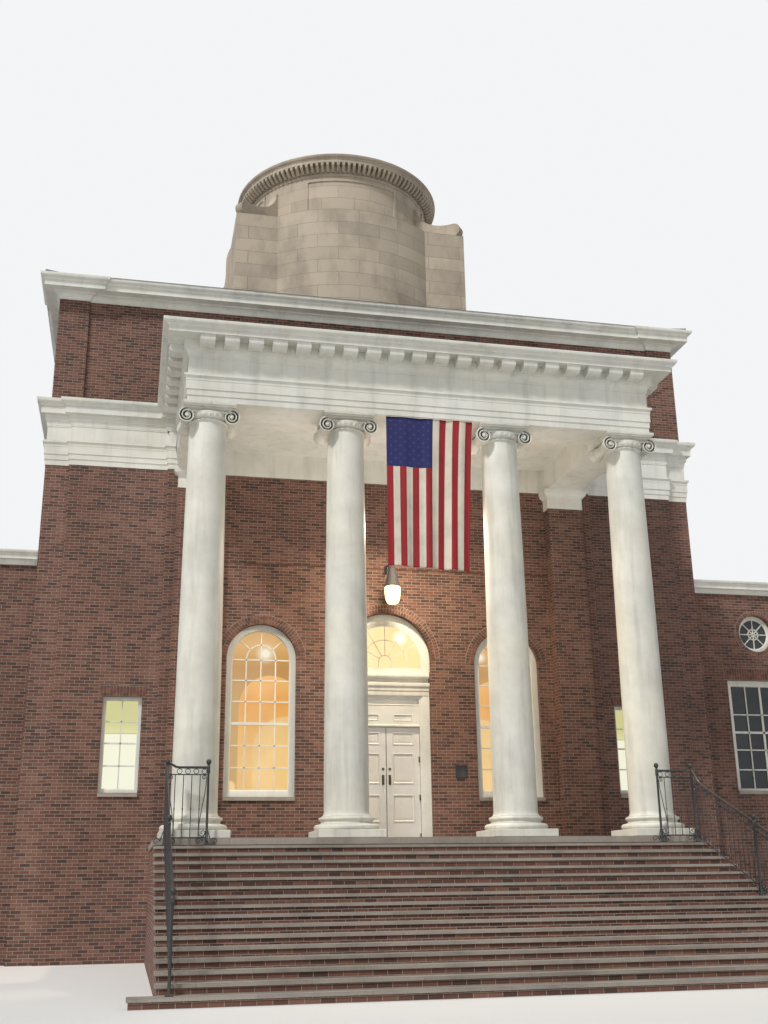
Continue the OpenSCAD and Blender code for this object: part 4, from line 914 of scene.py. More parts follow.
def window_places():
    """(kind, matrix to the wall face) of every window."""
    bay, middle = (WING_OUT - WING_IN) / 3, (WING_FRONT + WING_REAR) / 2
    found = []
    for s in (-1, 1):
        found += [("arched", s * ARCHED_X, WALL, 0), ("small", s * SMALL_X, WALL - 0.10, 0),
            ("small", s * SMALL_X, BACK_WALL, 180)]
        for i in range(3):
            x = s * (WING_IN + (i + 0.5) * bay)
            found += [("wing", x, WING_FRONT, 0), ("wing", x, WING_REAR, 180),
                ("wing", s * WING_OUT, middle + (i - 1) * bay, s * 90)]
    found += [("arched", x, BACK_WALL, 180) for x in (-ARCHED_X, 0.0, ARCHED_X)]
    return [(kind, Matrix.Translation((x, y, FLOOR)) @ Matrix.Rotation(math.radians(turn), 4, "Z"))
        for kind, x, y, turn in found]


def bar_between(shape, a, b, width, y0, y1, m):
    """A flat glazing bar from (x, z) a to b."""
    a, b = Vector(a), Vector(b)
    side = (b - a).normalized().orthogonal() * width / 2
    outline = [a - side, b - side, b + side, a + side]
    shape.rings([[(p.x, y, p.y) for p in outline] for y in (y0, y1)], m)


def bar_arc(shape, radius, end, width, y0, y1, m, z, n=24, caps=True):
    """A flat bar bent round a centre at height z."""
    inner, outer = radius - width / 2, radius + width / 2
    shape.rings([[(x * r, y, z + up * r) for r, y in ((inner, y0), (outer, y0), (outer, y1), (inner, y1))]
        for x, up in arc(1.0, end, n)], m, caps)


def spokes(shape, turns, inner, outer, width, y0, y1, m, z):
    """Flat bars that radiate from a centre at height z, at angles in degrees."""
    for a in map(math.radians, turns):
        c, s = math.cos(a), math.sin(a)
        bar_between(shape, (inner * c, z + inner * s), (outer * c, z + outer * s), width, y0, y1, m)


def rect(x0, z0, x1, z1):
    """Corners of an upright rectangle."""
    return [(x0, z0), (x1, z0), (x1, z1), (x0, z1)]


def arch_line(half, foot, spring):
    """A closed outline with a round head."""
    return [(-half, foot), (half, foot)] + arc(half, 180, 24, spring)


def lifted_heads(name, centres, piece, slot):
    """A copy of a frame node with its round window heads at their finished height."""
    mesh = frame["nodes"][name].data.copy()
    mesh.name = piece
    mesh.materials.clear()
    work = bmesh.new()
    work.from_mesh(mesh)
    bmesh.ops.remove_doubles(work, verts=work.verts, dist=WELD)
    bmesh.ops.dissolve_limit(work, angle_limit=0.0005, verts=work.verts, edges=work.edges)
    low, high = FLOOR + SPRING - 0.001, FLOOR + SPRING + 0.77
    for v in work.verts:
        if low < v.co.z < high and any(abs(v.co.x - x) < 0.77 and (x or v.co.y > 0) for x in centres):
            v.co.z += HEAD_LIFT
    work.to_mesh(mesh)
    work.free()
    add_piece(piece, mesh, slot, sharp=25, replaces=[name])


def window_bars(shape, kind, m):
    """Sashes and glazing bars on the glass of one window."""
    bar = setting("th_glazing").bar
    y0, y1 = 0.135, 0.170
    thin = bar * 0.8
    sash = [(0.0, 0.120), (0.0, 0.168), (0.012, 0.168), (0.012, 0.150), (0.008, 0.132), (0.004, 0.120)]
    if kind == "arched":
        half, foot, spring = 0.63, 1.03, SPRING + HEAD_LIFT
        shape.moulding(arch_line(half, foot, spring), sash, m)
        shape.run([(0.169, foot), (0.118, foot), (0.118, 1.100), (0.126, 1.118), (0.140, 1.130), (0.169, 1.138)],
            half, m)
        inner = 0.32
        for x in (-inner, 0.0, inner):
            bar_between(shape, (x, foot), (x, spring + (0.60 if x == 0 else 0.003)), bar, y0, y1, m)
        for z in (1.592, 2.055, 2.995, 3.452, 3.905):
            bar_between(shape, (-half, z), (half, z), bar, y0, y1, m)
        bar_between(shape, (-half, 2.522), (half, 2.522), 0.058, y0 - 0.012, y1, m)
        bar_arc(shape, inner, 180, bar, y0, y1, m, spring)
        spokes(shape, (42, 138), inner, 0.61, bar, y0, y1, m, spring)
    elif kind == "small":
        half, foot, head = 0.335, 1.035, 2.955
        shape.moulding(rect(-half, foot, half, head), sash, m)
        shape.run([(0.169, foot), (0.118, foot), (0.118, 1.115), (0.126, 1.132), (0.140, 1.142), (0.169, 1.150)],
            half, m)
        bar_between(shape, (0.0, foot), (0.0, head), bar, y0, y1, m)
        for z in (1.60, 2.06, 2.51):
            bar_between(shape, (-half, z), (half, z), 0.034 if z == 2.06 else bar, y0, y1, m)
    else:
        half, foot, head = 0.77, 1.21, 3.62
        shape.moulding(rect(-half, foot, half, head), sash, m)
        for x in (-0.385, 0.0, 0.385):
            bar_between(shape, (x, foot), (x, head), 0.05 if x == 0 else bar, y0, y1, m)
        for z in (1.65, 2.11, 2.52, 2.94):
            bar_between(shape, (-half, z), (half, z), 0.05 if z == 2.52 else bar, y0, y1, m)
        ring = arc(0.385, 360, 40, RING_Z)[:-1]
        shape.moulding(ring, [(0.0, 0.125), (0.0, 0.168), (0.03, 0.168), (0.03, 0.140)], m)
        spokes(shape, (0, 45, 90, 135), -0.37, 0.37, thin, y0, y1, m, RING_Z)
        bar_arc(shape, 0.13, 360, thin, y0, y1, m, RING_Z, caps=False)


class TOWNHALL_OT_windows(bpy.types.Operator):
    """Adds sashes and glazing bars to every window"""
    bl_idname = "townhall.windows"
    bl_label = "Windows"

    def execute(self, context):
        sides, every = (-ARCHED_X, ARCHED_X), (-ARCHED_X, 0.0, ARCHED_X)
        lifted_heads("front_wall_left", sides, "front_brick_wall_left", "brick")
        lifted_heads("front_wall_right", sides, "front_brick_wall_right", "brick")
        lifted_heads("rear_wall", every, "rear_brick_wall", "brick")
        lifted_heads("window_frames", every, "moulded_window_frames", "white_paint")
        lifted_heads("window_glass", every, "window_panes", "glass")
        for kind in ("arched", "small", "wing"):
            shape = Shape()
            for found, m in window_places():
                if found == kind:
                    window_bars(shape, kind, m)
            shape.piece("%s_window_bars" % kind, "white_paint", sharp=25)
        return {"FINISHED"}


# The round head over the door: half width and height over its spring line (outside and inside), the height of that
# line, the height of its foot, and the number of steps round it
HEAD_OUT, HEAD_IN, HEAD_Z, HEAD_FOOT, HEAD_STEPS = (1.020, 1.040), (0.820, 0.795), 3.985, 3.70, 48


def head_line(share, drop=0.0):
    """The outline (x, z) over the door, from the wall's edge (share 0) to the glass (share 1)."""
    w, h = (HEAD_OUT[i] + (HEAD_IN[i] - HEAD_OUT[i]) * share for i in (0, 1))
    turns = [math.pi * i / HEAD_STEPS for i in range(HEAD_STEPS + 1)]
    curve = [(w * math.cos(a), HEAD_Z - drop * share + h * math.sin(a)) for a in turns]
    return [(w, HEAD_FOOT)] + curve + [(-w, HEAD_FOOT)]


class TOWNHALL_OT_fanlight(bpy.types.Operator):
    """Builds the wall round the door head, its moulded ring, the panes and the radiating bars"""
    bl_idname = "townhall.fanlight"
    bl_label = "Fanlight"

    def execute(self, context):
        lo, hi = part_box("doorway_wall")
        thick, top = hi.y - lo.y, hi.z - FLOOR
        half, jamb = hi.x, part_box("front_wall_right")[0].x
        m = at(0, 0, 0)
        wall = Shape()
        low, step = HEAD_FOOT - 0.28, HEAD_FOOT + 0.012
        right = [(jamb, low), (jamb, step), (HEAD_OUT[0], step)]
        inner = right + head_line(0)[1:-1] + [(-x, z) for x, z in reversed(right)]
        rows = []
        for k, (x, z) in enumerate(inner):
            turn = max(0.0, min(1.0, (k - 3) / HEAD_STEPS))
            if turn <= 0.25:
                far = (half, z if k < 3 else HEAD_Z + (top - HEAD_Z) * turn * 4)
            elif turn < 0.75:
                far = (half * (1 - (turn - 0.25) * 4), top)
            else:
                far = (-half, z if k > len(inner) - 4 else HEAD_Z + (top - HEAD_Z) * (1 - turn) * 4)
            rows.append([(x, 0.0, z), (far[0], 0.0, far[1]), (far[0], thick, far[1]), (x, thick, z)])
        wall.rings(rows, m)
        wall.block((-jamb, 0.0, -FLOOR), (jamb, thick, 0.0), m)
        wall.piece("door_head_wall", "brick", replaces=["doorway_wall"])

        ring = Shape()
        profile = [(0.0, 0.199), (0.0, 0.148), (0.03, 0.144), (0.30, 0.144), (0.34, 0.150), (0.37, 0.158),
            (0.62, 0.158), (0.66, 0.161), (0.72, 0.170), (0.80, 0.174), (0.86, 0.179), (0.95, 0.184), (1.0, 0.190),
            (1.0, 0.199)]
        lines = [[(x, y, z) for x, z in head_line(share, 0.02)] for share, y in profile]
        ring.rings([[line[i] for line in lines] for i in range(len(lines[0]))], m)
        y0, y1 = 0.180, 0.196
        bar, hub, middle, centre = 0.015, 0.150, 0.500, 3.945
        ring.run([(0.197, HEAD_FOOT), (0.165, HEAD_FOOT), (0.160, 3.765), (0.163, 3.790), (0.178, 3.805),
            (0.197, 3.805)], 0.826, m)
        for radius in (hub, middle):
            bar_arc(ring, radius, 180, bar, y0, y1, m, centre, 32)
            for side in (-1, 1):
                bar_between(ring, (side * radius, 3.79), (side * radius, centre + 0.003), bar, y0, y1, m)
        spokes(ring, (30, 60, 90, 120, 150), hub, 0.815, bar, y0, y1, m, centre)
        ring.piece("fanlight_ring_and_bars", "white_paint", sharp=25, replaces=["fanlight"])
        panes = Shape()
        line = head_line(0.97, 0.02)
        panes.rings([[(x, y, z) for x, z in line] for y in (0.1925, 0.1975)], m)
        panes.piece("fanlight_panes", "glass")
        return {"FINISHED"}


class TOWNHALL_OT_door(bpy.types.Operator):
    """Adds panel mouldings to the leaves and over them, and a bare plaque beside the door"""
    bl_idname = "townhall.door"
    bl_label = "Door"

    def execute(self, context):
        bead = [(0.0, -0.001), (0.004, -0.010), (0.012, -0.014), (0.020, -0.010), (0.026, 0.000), (0.034, 0.006),
            (0.040, 0.0135), (0.0, 0.0135)]

        def panel(shape, x0, x1, z0, z1, m):
            """A raised field inside a moulded frame."""
            sunk = 0.0138
            shape.moulding(rect(x0, z0, x1, z1), bead, m)
            field = [[(x, y, z) for x, z in rect(x0 + d, z0 + d, x1 - d, z1 - d)]
                for d, y in ((0.055, sunk), (0.062, sunk - 0.002), (0.085, sunk - 0.009), (0.088, sunk - 0.009))]
            shape.rings(field, m)

        for side, body in ((-1, "left_leaf"), (1, "right_leaf")):
            shape = Shape()
            x0, x1 = sorted((side * 0.143, side * 0.619))
            for z0, z1 in ((0.470, 1.045), (1.275, 1.930), (2.110, 2.385)):
                panel(shape, x0, x1, z0, z1, at(0, 0.190, 0))
                panel(shape, -x1, -x0, z0, z1, at(0, 0.245, 0, 180))
            shape.piece("leaf_panels_%s" % body, "door_paint", "leaf_paint", body=body, sharp=20)
        head = Shape()
        for side in (-1, 1):
            x0, x1 = sorted((side * 0.165, side * 0.600))
            head.moulding(rect(x0, 2.630, x1, 2.775), [(0.0, -0.001), (0.004, -0.006), (0.011, -0.009), (0.018, -0.005),
                (0.024, 0.004), (0.030, 0.0135), (0.0, 0.0135)], at(0, 0.145, 0))
        head.moulding(rect(-0.755, 2.505, 0.755, 2.995), [(0.0, 0.0), (0.0, -0.006), (0.012, -0.012), (0.022, -0.008),
            (0.030, 0.0)], at(0, 0.145, 0))
        # Ogee under the sill of the fanlight
        head.run([(0.080 - out, z) for out, z in ((0.0, 3.572), (0.006, 3.572), (0.014, 3.590), (0.022, 3.600),
            (0.026, 3.615), (0.026, 3.640), (0.0, 3.640))], 0.983, at(0, 0, 0))
        # Small stepped cornice over the casing, and a lip under the board
        head.run([(0.165, 3.190), (0.102, 3.190), (0.100, 3.196), (0.100, 3.278), (0.094, 3.284), (0.084, 3.296),
            (0.082, 3.304), (0.082, 3.362), (0.076, 3.370), (0.060, 3.386), (0.050, 3.396), (0.048, 3.404),
            (0.048, 3.460), (0.054, 3.470), (0.165, 3.474)], 0.9835, at(0, 0, 0))
        head.run([(0.146, 2.503), (0.122, 2.503), (0.116, 2.508), (0.114, 2.516), (0.114, 2.532), (0.122, 2.540),
            (0.132, 2.550), (0.146, 2.556)], 0.758, at(0, 0, 0))
        head.piece("door_head_mouldings", "white_paint", sharp=20)
        plaque = Shape()

        def inset(d):
            """The corners of the plaque, moved inwards."""
            return rect(1.515 + d, 1.395 + d, 1.775 - d, 1.665 - d)

        plaque.rings([[(x, y, z) for x, z in inset(d)] for d, y in ((0.0, 0.0), (0.0, -0.020), (0.004, -0.025),
            (0.014, -0.025), (0.018, -0.019), (0.020, -0.018))], at(0, 0, 0))
        for x, z in inset(0.030):
            plaque.rings([[(x + r * math.cos(a), y, z + r * math.sin(a)) for a in angles(12)]
                for r, y in ((0.007, -0.017), (0.007, -0.022), (0.004, -0.025))], at(0, 0, 0))
        plaque.piece("wall_plaque", "iron")
        return {"FINISHED"}


# ---- Brick arches over the openings

class TOWNHALL_OT_arches(bpy.types.Operator):
    """Lays the brick arches over round heads and the upright bricks over flat ones"""
    bl_idname = "townhall.arches"
    bl_label = "Brick arches"

    def execute(self, context):
        s = setting("th_brick")
        bricks, joints = Shape(), Shape()
        thick = s.course - s.joint
        ends = 0.092

        def ring(m, radius, rows, caps=True):
            """Rings of bricks on end, with their mortar, round the upper half of a circle."""
            for row in range(rows):
                middle = radius + row * (ends + s.joint) + ends / 2
                count = int(round(math.pi * middle / s.course))
                brick = Shape().block((-ends / 2, -thick / 2, -0.004), (ends / 2, thick / 2, 0.010))
                mesh = around(brick, FINISH["arch_brick"], count, middle, math.pi / count / 2, math.pi)
                bricks.take(mesh, m @ Matrix.Rotation(math.pi / 2, 4, "X"))
            wide = rows * (ends + s.joint)
            bar_arc(joints, radius + wide / 2, 180, wide, -0.0045, 0.002, m, 0.0, 40, caps)

        def lintel(m, half, head, tall):
            """A row of upright bricks over a flat head."""
            half += 0.07
            count = int(round(2 * half / s.course))
            wide = 2 * half / count
            brick = Shape().block((-thick / 2, -0.010, 0), (thick / 2, 0.004, tall))
            mesh = in_line(brick, FINISH["arch_brick"], count, (wide, 0, 0))
            bricks.take(mesh, m @ Matrix.Translation((-half + wide / 2, 0, head + s.joint)))
            joints.block((-half, -0.0045, head), (half, 0.002, head + tall + 2 * s.joint), m)

        for kind, m in window_places():
            if kind == "arched":
                ring(m @ Matrix.Translation((0, 0, SPRING + HEAD_LIFT)), 0.765, 2)
            elif kind == "small":
                lintel(m, 0.40, 3.02, 0.203)
            else:
                lintel(m, 0.90, 3.75, 0.27)
                for up in (1, -1):
                    ring(m @ Matrix.Translation((0, 0, RING_Z)) @ Matrix.Scale(up, 4, (0, 0, 1)), 0.455, 1, False)
        ring(at(0, 0, HEAD_Z) @ Matrix.Scale(HEAD_OUT[1] / HEAD_OUT[0], 4, (0, 0, 1)), HEAD_OUT[0] + 0.004, 2)
        bricks.piece("arch_bricks", "brick", "arch_brick", sharp=20)
        joints.piece("arch_joints", "brick", "mortar")
        return {"FINISHED"}


# ---- Ironwork

def scroll_line(x, z, r, turns, start, hand=1, n=28):
    """A flat spiral of points (x, z) running in to its eye."""
    points = []
    for i in range(n + 1):
        t = i / n
        a = math.radians(start) + hand * t * turns * math.tau
        k = r * (1 - 0.80 * t)
        points.append((x + k * math.cos(a), z + k * math.sin(a)))
    return points


def s_scroll(height):
    """An S-shaped bar with a small curl at the top and a larger one at the bottom, as (across, up)."""
    small, large = 0.040, 0.068
    upper = scroll_line(0.0, height - small - 0.01, small, 1.2, 180, -1, 18)[::-1]
    lower = scroll_line(0.0, large + 0.01, large, 1.2, 0, -1, 24)
    a, b = upper[-1], lower[0]
    steps = [i / 12 for i in range(1, 12)]
    middle = [(a[0] + (b[0] - a[0]) * t * t * (3 - 2 * t), a[1] + (b[1] - a[1]) * t) for t in steps]
    return upper + middle + lower


ROD = 0.0075  # Radius of the thin bars of the stair rails


def picket(collar, top):
    """A thin bar with a collar on it."""
    return Shape().lathe([(ROD, 0.0), (ROD, collar - 0.02), (0.013, collar), (ROD, collar + 0.02), (ROD, top)], 8)


def small_ring(sideways):
    """A ring between the two upper rails, along a stair or sideways along the landing."""
    line = [(0.042 * math.cos(a), 0.042 * math.sin(a)) for a in angles(14)]
    return Shape().torus_line([(p, 0.0, q) if sideways else (0.0, p, q) for p, q in line], 0.006, 6, closed=True)


class TOWNHALL_OT_railings(bpy.types.Operator):
    """Forges the stair rails with thin bars, S-scrolls, rings and knobs"""
    bl_idname = "townhall.railings"
    bl_label = "Stair rails"

    def execute(self, context):
        rail_x, riser, tread = 4.85, 0.13, 0.30
        foot, head = (-8.95, riser - FLOOR), (-4.45, -riser)
        middle = (-6.55, -1.04)
        back, pitch, gap, lift = 0.70, 0.15, 0.14, 0.13
        low, high, top = 0.135, 1.045, 1.165
        slope = riser / tread
        level = at(0, 0, 0)
        iron = FINISH["iron"]

        def up(y):
            return foot[1] + (y - foot[0]) * slope

        for s, node in ((-1, "left_railing"), (1, "right_railing")):
            shape = Shape()
            # Hand rail: up the stair, over a peak at the corner post, then level to a curled end
            rail = [(0.0, foot[0] - 0.06, up(foot[0]) + top - 0.05), (0.0, foot[0], up(foot[0]) + top)]
            rail += [(0.0, y, up(y) + top) for y in (-8.0, -7.0, -6.0, -5.2, -4.85)]
            rail += [(0.0, -4.70, up(-4.70) + top + 0.02), (0.0, -4.58, 1.08), (0.0, -4.50, 1.16),
                (0.01, -4.455, 1.205)]
            rail += [(x, head[0], z) for x, z in ((0.05, 1.225), (0.10, 1.20), (0.15, 1.172), (0.22, top), (0.35, top),
                (0.50, top), (0.62, top), (back, top))]
            shape.torus_line([(s * (rail_x - x), y, z) for x, y, z in rail], 0.021, 10, level)
            for z, rise in ((high, lift), (low, 0)):
                for line in ([(rail_x, foot[0], foot[1] + z), (rail_x, head[0], head[1] + z)],
                        [(rail_x, head[0], head[1] + z + rise), (rail_x - back, head[0], head[1] + z + rise)]):
                    shape.torus_line([(s * x, y, end) for x, y, end in line], 0.010, 8, level)
            # Thin bars, and small rings between the two upper rails, on the stair and on the landing
            stair, landing = (29, (0.0, pitch, pitch * slope)), (4, (-s * gap, 0.0, 0.0))
            ring_z = (high + top) / 2 - 0.006
            for part, (count, step), x, y, z in (
                    (picket(0.42, high - low), stair, rail_x, foot[0] + pitch, up(foot[0] + pitch) + low),
                    (picket(0.47, high - low + lift), landing, rail_x - gap, head[0], head[1] + low),
                    (small_ring(False), stair, rail_x, foot[0] + pitch / 2, up(foot[0] + pitch / 2) + ring_z),
                    (small_ring(True), landing, rail_x - 1.5 * gap, head[0], head[1] + lift + ring_z)):
                shape.take(in_line(part, iron, count, step), at(s * x, y, z))
            # S-scrolls beside every post
            line = s_scroll(high - low)
            for y, way in ((foot[0], 1), (middle[0], -1), (middle[0], 1), (head[0], -1)):
                places = [(y + way * (0.075 + p), q) for p, q in line]
                shape.torus_line([(s * rail_x, place, up(place) + low + q) for place, q in places], ROD, 6, level)
            line = s_scroll(high - low + lift)
            for x, way in ((rail_x, -1), (rail_x - back, 1)):
                shape.torus_line([(s * (x + way * (0.070 + p)), head[0], head[1] + low + q) for p, q in line],
                    ROD, 6, level)
            # Posts with knobs on scrolled feet
            curl = [(0.0, 0.24)] + scroll_line(0.115, 0.075, 0.060, 1.1, 180, -1, 16)
            for x, (y, z), h in ((rail_x, foot, 1.15), (rail_x, middle, 1.15), (rail_x, head, 1.15 + lift),
                    (rail_x - back, head, 1.15 + lift)):
                post = at(s * x, y, z)
                shape.lathe([(0.055, 0.0), (0.055, 0.012), (0.030, 0.03), (0.022, 0.06), (0.019, h - 0.09),
                    (0.028, h - 0.07), (0.028, h + 0.035), (0.018, h + 0.055), (0.026, h + 0.065), (0.042, h + 0.095),
                    (0.044, h + 0.115), (0.034, h + 0.145), (0.004, h + 0.160)], 16, post)
                for turn in range(4):
                    # Posts on the stair have no side scrolls, and the first post has none towards the viewer
                    if (turn % 2 == 0 or z == head[1]) and not (y == foot[0] and turn == 2):
                        shape.torus_line([(0.0, 0.02 + p, q) for p, q in curl], ROD, 6,
                            post @ Matrix.Rotation(math.pi / 2 * turn, 4, "Z"))
            shape.piece("%s_stair_rail" % ("left" if s < 0 else "right"), "iron", replaces=[node])
        return {"FINISHED"}


class TOWNHALL_OT_lantern(bpy.types.Operator):
    """Hangs the globe lantern from its scrolled wall bracket"""
    bl_idname = "townhall.lantern"
    bl_label = "Lantern"

    def execute(self, context):
        lo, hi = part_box("lantern")
        centre = (lo.x + hi.x) / 2
        out, globe_z = -0.69, 5.30
        arm = globe_z + 0.77
        iron = Shape()
        m = at(centre, 0, 0)
        # Wall plate, arm and the scroll under it
        plate = [(-0.020, arm - 0.13), (0.020, arm - 0.13), (0.034, arm - 0.10), (0.034, arm + 0.035),
            (0.018, arm + 0.055), (0.0, arm + 0.065), (-0.018, arm + 0.055), (-0.034, arm + 0.035),
            (-0.034, arm - 0.10)]
        iron.rings([[(x, y, z) for x, z in plate] for y in (-0.02, 0.0)], m)
        iron.torus_line([(0, -0.01, arm), (0, out, arm)], 0.012, 10, m)
        curl = scroll_line(0.26, -0.085, 0.075, 1.25, 200, -1)
        iron.torus_line([(0, -0.02, arm - 0.11)] + [(0, -0.08 - p, arm + q) for p, q in curl], 0.006, 8, m)
        for side in (-1, 1):
            curl = scroll_line(0.10, 0.0, 0.055, 1.2, 180, 1 if side > 0 else -1)
            iron.torus_line([(side * (p + 0.01), out, arm - 0.02 + q) for p, q in curl], 0.005, 8, m)
            # Thin scrolls beside the glass
            side_curl = [(0.178, 0.165), (0.192, 0.130)] + scroll_line(0.245, 0.020, 0.050, 1.15, 140, 1, 20)
            iron.torus_line([(side * p, out, globe_z + q) for p, q in side_curl], 0.0055, 6, m)
        cap = at(centre, out, globe_z)
        profile = [(0.150, 0.164), (0.176, 0.168), (0.184, 0.176), (0.180, 0.190), (0.166, 0.200), (0.158, 0.225),
            (0.140, 0.310), (0.114, 0.420), (0.088, 0.520), (0.066, 0.600), (0.070, 0.612), (0.058, 0.628),
            (0.034, 0.650), (0.018, 0.680), (0.014, 0.785)]
        iron.lathe(profile, 40, cap)
        for a in angles(8):
            ridge = [(r * 1.01 * math.cos(a), r * 1.01 * math.sin(a), z) for r, z in profile[4:11]]
            iron.torus_line(ridge, 0.005, 6, cap)
        iron.piece("lantern_bracket", "iron", "lantern_metal", replaces=["lantern"])
        # Glass that narrows downwards from under the cap to a flat round bottom
        rows = [(0.004, -0.222), (0.070, -0.220), (0.104, -0.208), (0.124, -0.186), (0.142, -0.150), (0.158, -0.095),
            (0.169, -0.030), (0.176, 0.040), (0.179, 0.110), (0.176, 0.150), (0.160, 0.168)]
        globe = Shape().lathe(rows, 40, cap)
        globe.piece("lantern_globe", "glass", "globe")
        return {"FINISHED"}


# ---- Drum and roof details

class TOWNHALL_OT_drum(bpy.types.Operator):
    """Adds the blocks under the ring cornice, the panels of the drum and the seams of the dome"""
    bl_idname = "townhall.drum"
    bl_label = "Drum and dome"

    def execute(self, context):
        lo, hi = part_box("drum_cornice")
        soffit = lo.z + 0.58 * (hi.z - lo.z)
        centre = Matrix.Translation((0, DRUM_Y, 0))
        block = Shape().rings([[(x, y, z) for x, z in ((0.0, 0.0), (0.0, -0.215), (0.05, -0.220), (0.14, -0.190),
            (0.20, -0.130), (0.250, -0.095), (0.258, -0.080), (0.258, 0.0))] for y in (-0.0375, 0.0375)])
        mesh = around(block, FINISH["limestone"], 120, DRUM_R + 0.018)
        shape = Shape().take(mesh, centre @ Matrix.Translation((0, 0, soffit + 0.002)))
        # Four sunk-looking panels on the axes of the drum, framed by raised strips
        base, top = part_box("drum")[0].z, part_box("drum")[1].z
        half, strip = math.radians(29.4), 0.032

        def raised(a0, a1, z0, z1, proud=0.034, caps=True):
            """A strip on the drum between two angles and two heights."""
            profile = ((-0.01, z0), (proud - 0.008, z0), (proud, z0 + 0.010), (proud, z1 - 0.010), (proud - 0.008, z1),
                (-0.01, z1))
            turns = [a0 + (a1 - a0) * i / 16 for i in range(17)]
            shape.rings([[((DRUM_R + d) * math.cos(a), (DRUM_R + d) * math.sin(a), z) for d, z in profile]
                for a in turns], centre, caps)

        for k in range(4):
            mid = math.pi / 2 * k
            for z0, z1 in ((base + 0.16, base + 0.25), (top - 0.17, top - 0.08)):
                raised(mid - half, mid + half, z0, z1)
            for e in (-1, 1):
                a, c = mid + e * (half - strip), mid + e * half
                raised(min(a, c), max(a, c), base + 0.16, top - 0.08)
        raised(0.0, math.tau, base, base + 0.11, 0.045, False)
        shape.piece("drum_blocks_and_panels", "limestone")
        # Standing seams of the dome
        lo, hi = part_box("dome")
        r, rise = hi.x, hi.z - lo.z
        seam = Shape().rings([[((r + d) * math.cos(t), w, (rise + d * math.cos(t)) * math.sin(t)) for d, w in
            ((-0.01, -0.012), (0.012, -0.006), (0.012, 0.006), (-0.01, 0.012))]
            for t in [math.pi / 2 * k / 16 for k in range(16)]])
        seams = around(seam, FINISH["dome_metal"], 32, 0.0)
        Shape().take(seams, centre @ Matrix.Translation((0, 0, lo.z))).piece("dome_seams", "dome_metal")
        return {"FINISHED"}


class TOWNHALL_OT_roof_trim(bpy.types.Operator):
    """Lays lead rolls on the hips of the roofs and moulds the caps of the porch pilasters"""
    bl_idname = "townhall.roof_trim"
    bl_label = "Roof rolls and pilaster caps"

    def execute(self, context):
        rolls = Shape()

        def hips(x0, x1, y0, y1, z0, z1, run, ends):
            """Rolls on the hips and round the flat top; ends tells whether the roof is hipped left and right."""
            left, right = x0 + run * ends[0], x1 - run * ends[1]
            deck = [(x, y, z1) for x, y in rect(left, y0 + run, right, y1 - run)]
            feet = [(x, y, z0) for x, y in rect(x0, y0, x1, y1)]
            for k, (foot, head) in enumerate(zip(feet, deck)):
                if ends[0 if k in (0, 3) else 1]:
                    start = Vector(foot).lerp(Vector(head), 0.03)
                    rolls.torus_line([start, head], 0.045, 10)
            for k in range(4):
                if (ends[1] or k != 1) and (ends[0] or k != 3):
                    rolls.torus_line([deck[k], deck[(k + 1) % 4]], 0.045, 10)

        lo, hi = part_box("main_roof")
        hips(lo.x, hi.x, lo.y, hi.y, lo.z + 0.03, hi.z - 0.02, 2.65, (True, True))
        lo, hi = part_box("wing_roofs")
        hips(WING_IN, hi.x, lo.y, hi.y, lo.z + 0.03, hi.z - 0.02, 3.0, (False, True))
        hips(lo.x, -WING_IN, lo.y, hi.y, lo.z + 0.03, hi.z - 0.02, 3.0, (True, False))
        rolls.piece("roof_rolls", "roofing", "dome_metal")
        # Ovolo and fillet that round off the stepped caps of the pilasters
        caps = Shape()
        lo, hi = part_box("antae")
        inner, outer, front = hi.x - 0.85, hi.x, lo.y
        profile = [(0.0, -0.190), (0.010, -0.190), (0.020, -0.182), (0.024, -0.172), (0.024, -0.162)]
        profile += [(0.026 + 0.066 * out, -0.160 + 0.100 * up) for out, up in quarter()]
        profile += [(0.094, -0.052), (0.094, -0.001), (0.0, -0.001)]
        for s in (-1, 1):
            rows = []
            for x, y, dx, dy in ((inner - 0.02, WALL - 0.001, -1, 0), (inner - 0.02, front - 0.02, -1, -1),
                    (outer, front - 0.02, 1, -1), (outer, WALL - 0.201, 1, 0)):
                rows.append([(s * (x + dx * d), y + dy * d, COLUMN_TOP + z) for d, z in profile])
            caps.rings(rows)
        caps.piece("pilaster_caps", "white_paint", sharp=28)
        return {"FINISHED"}


# ---- Flag

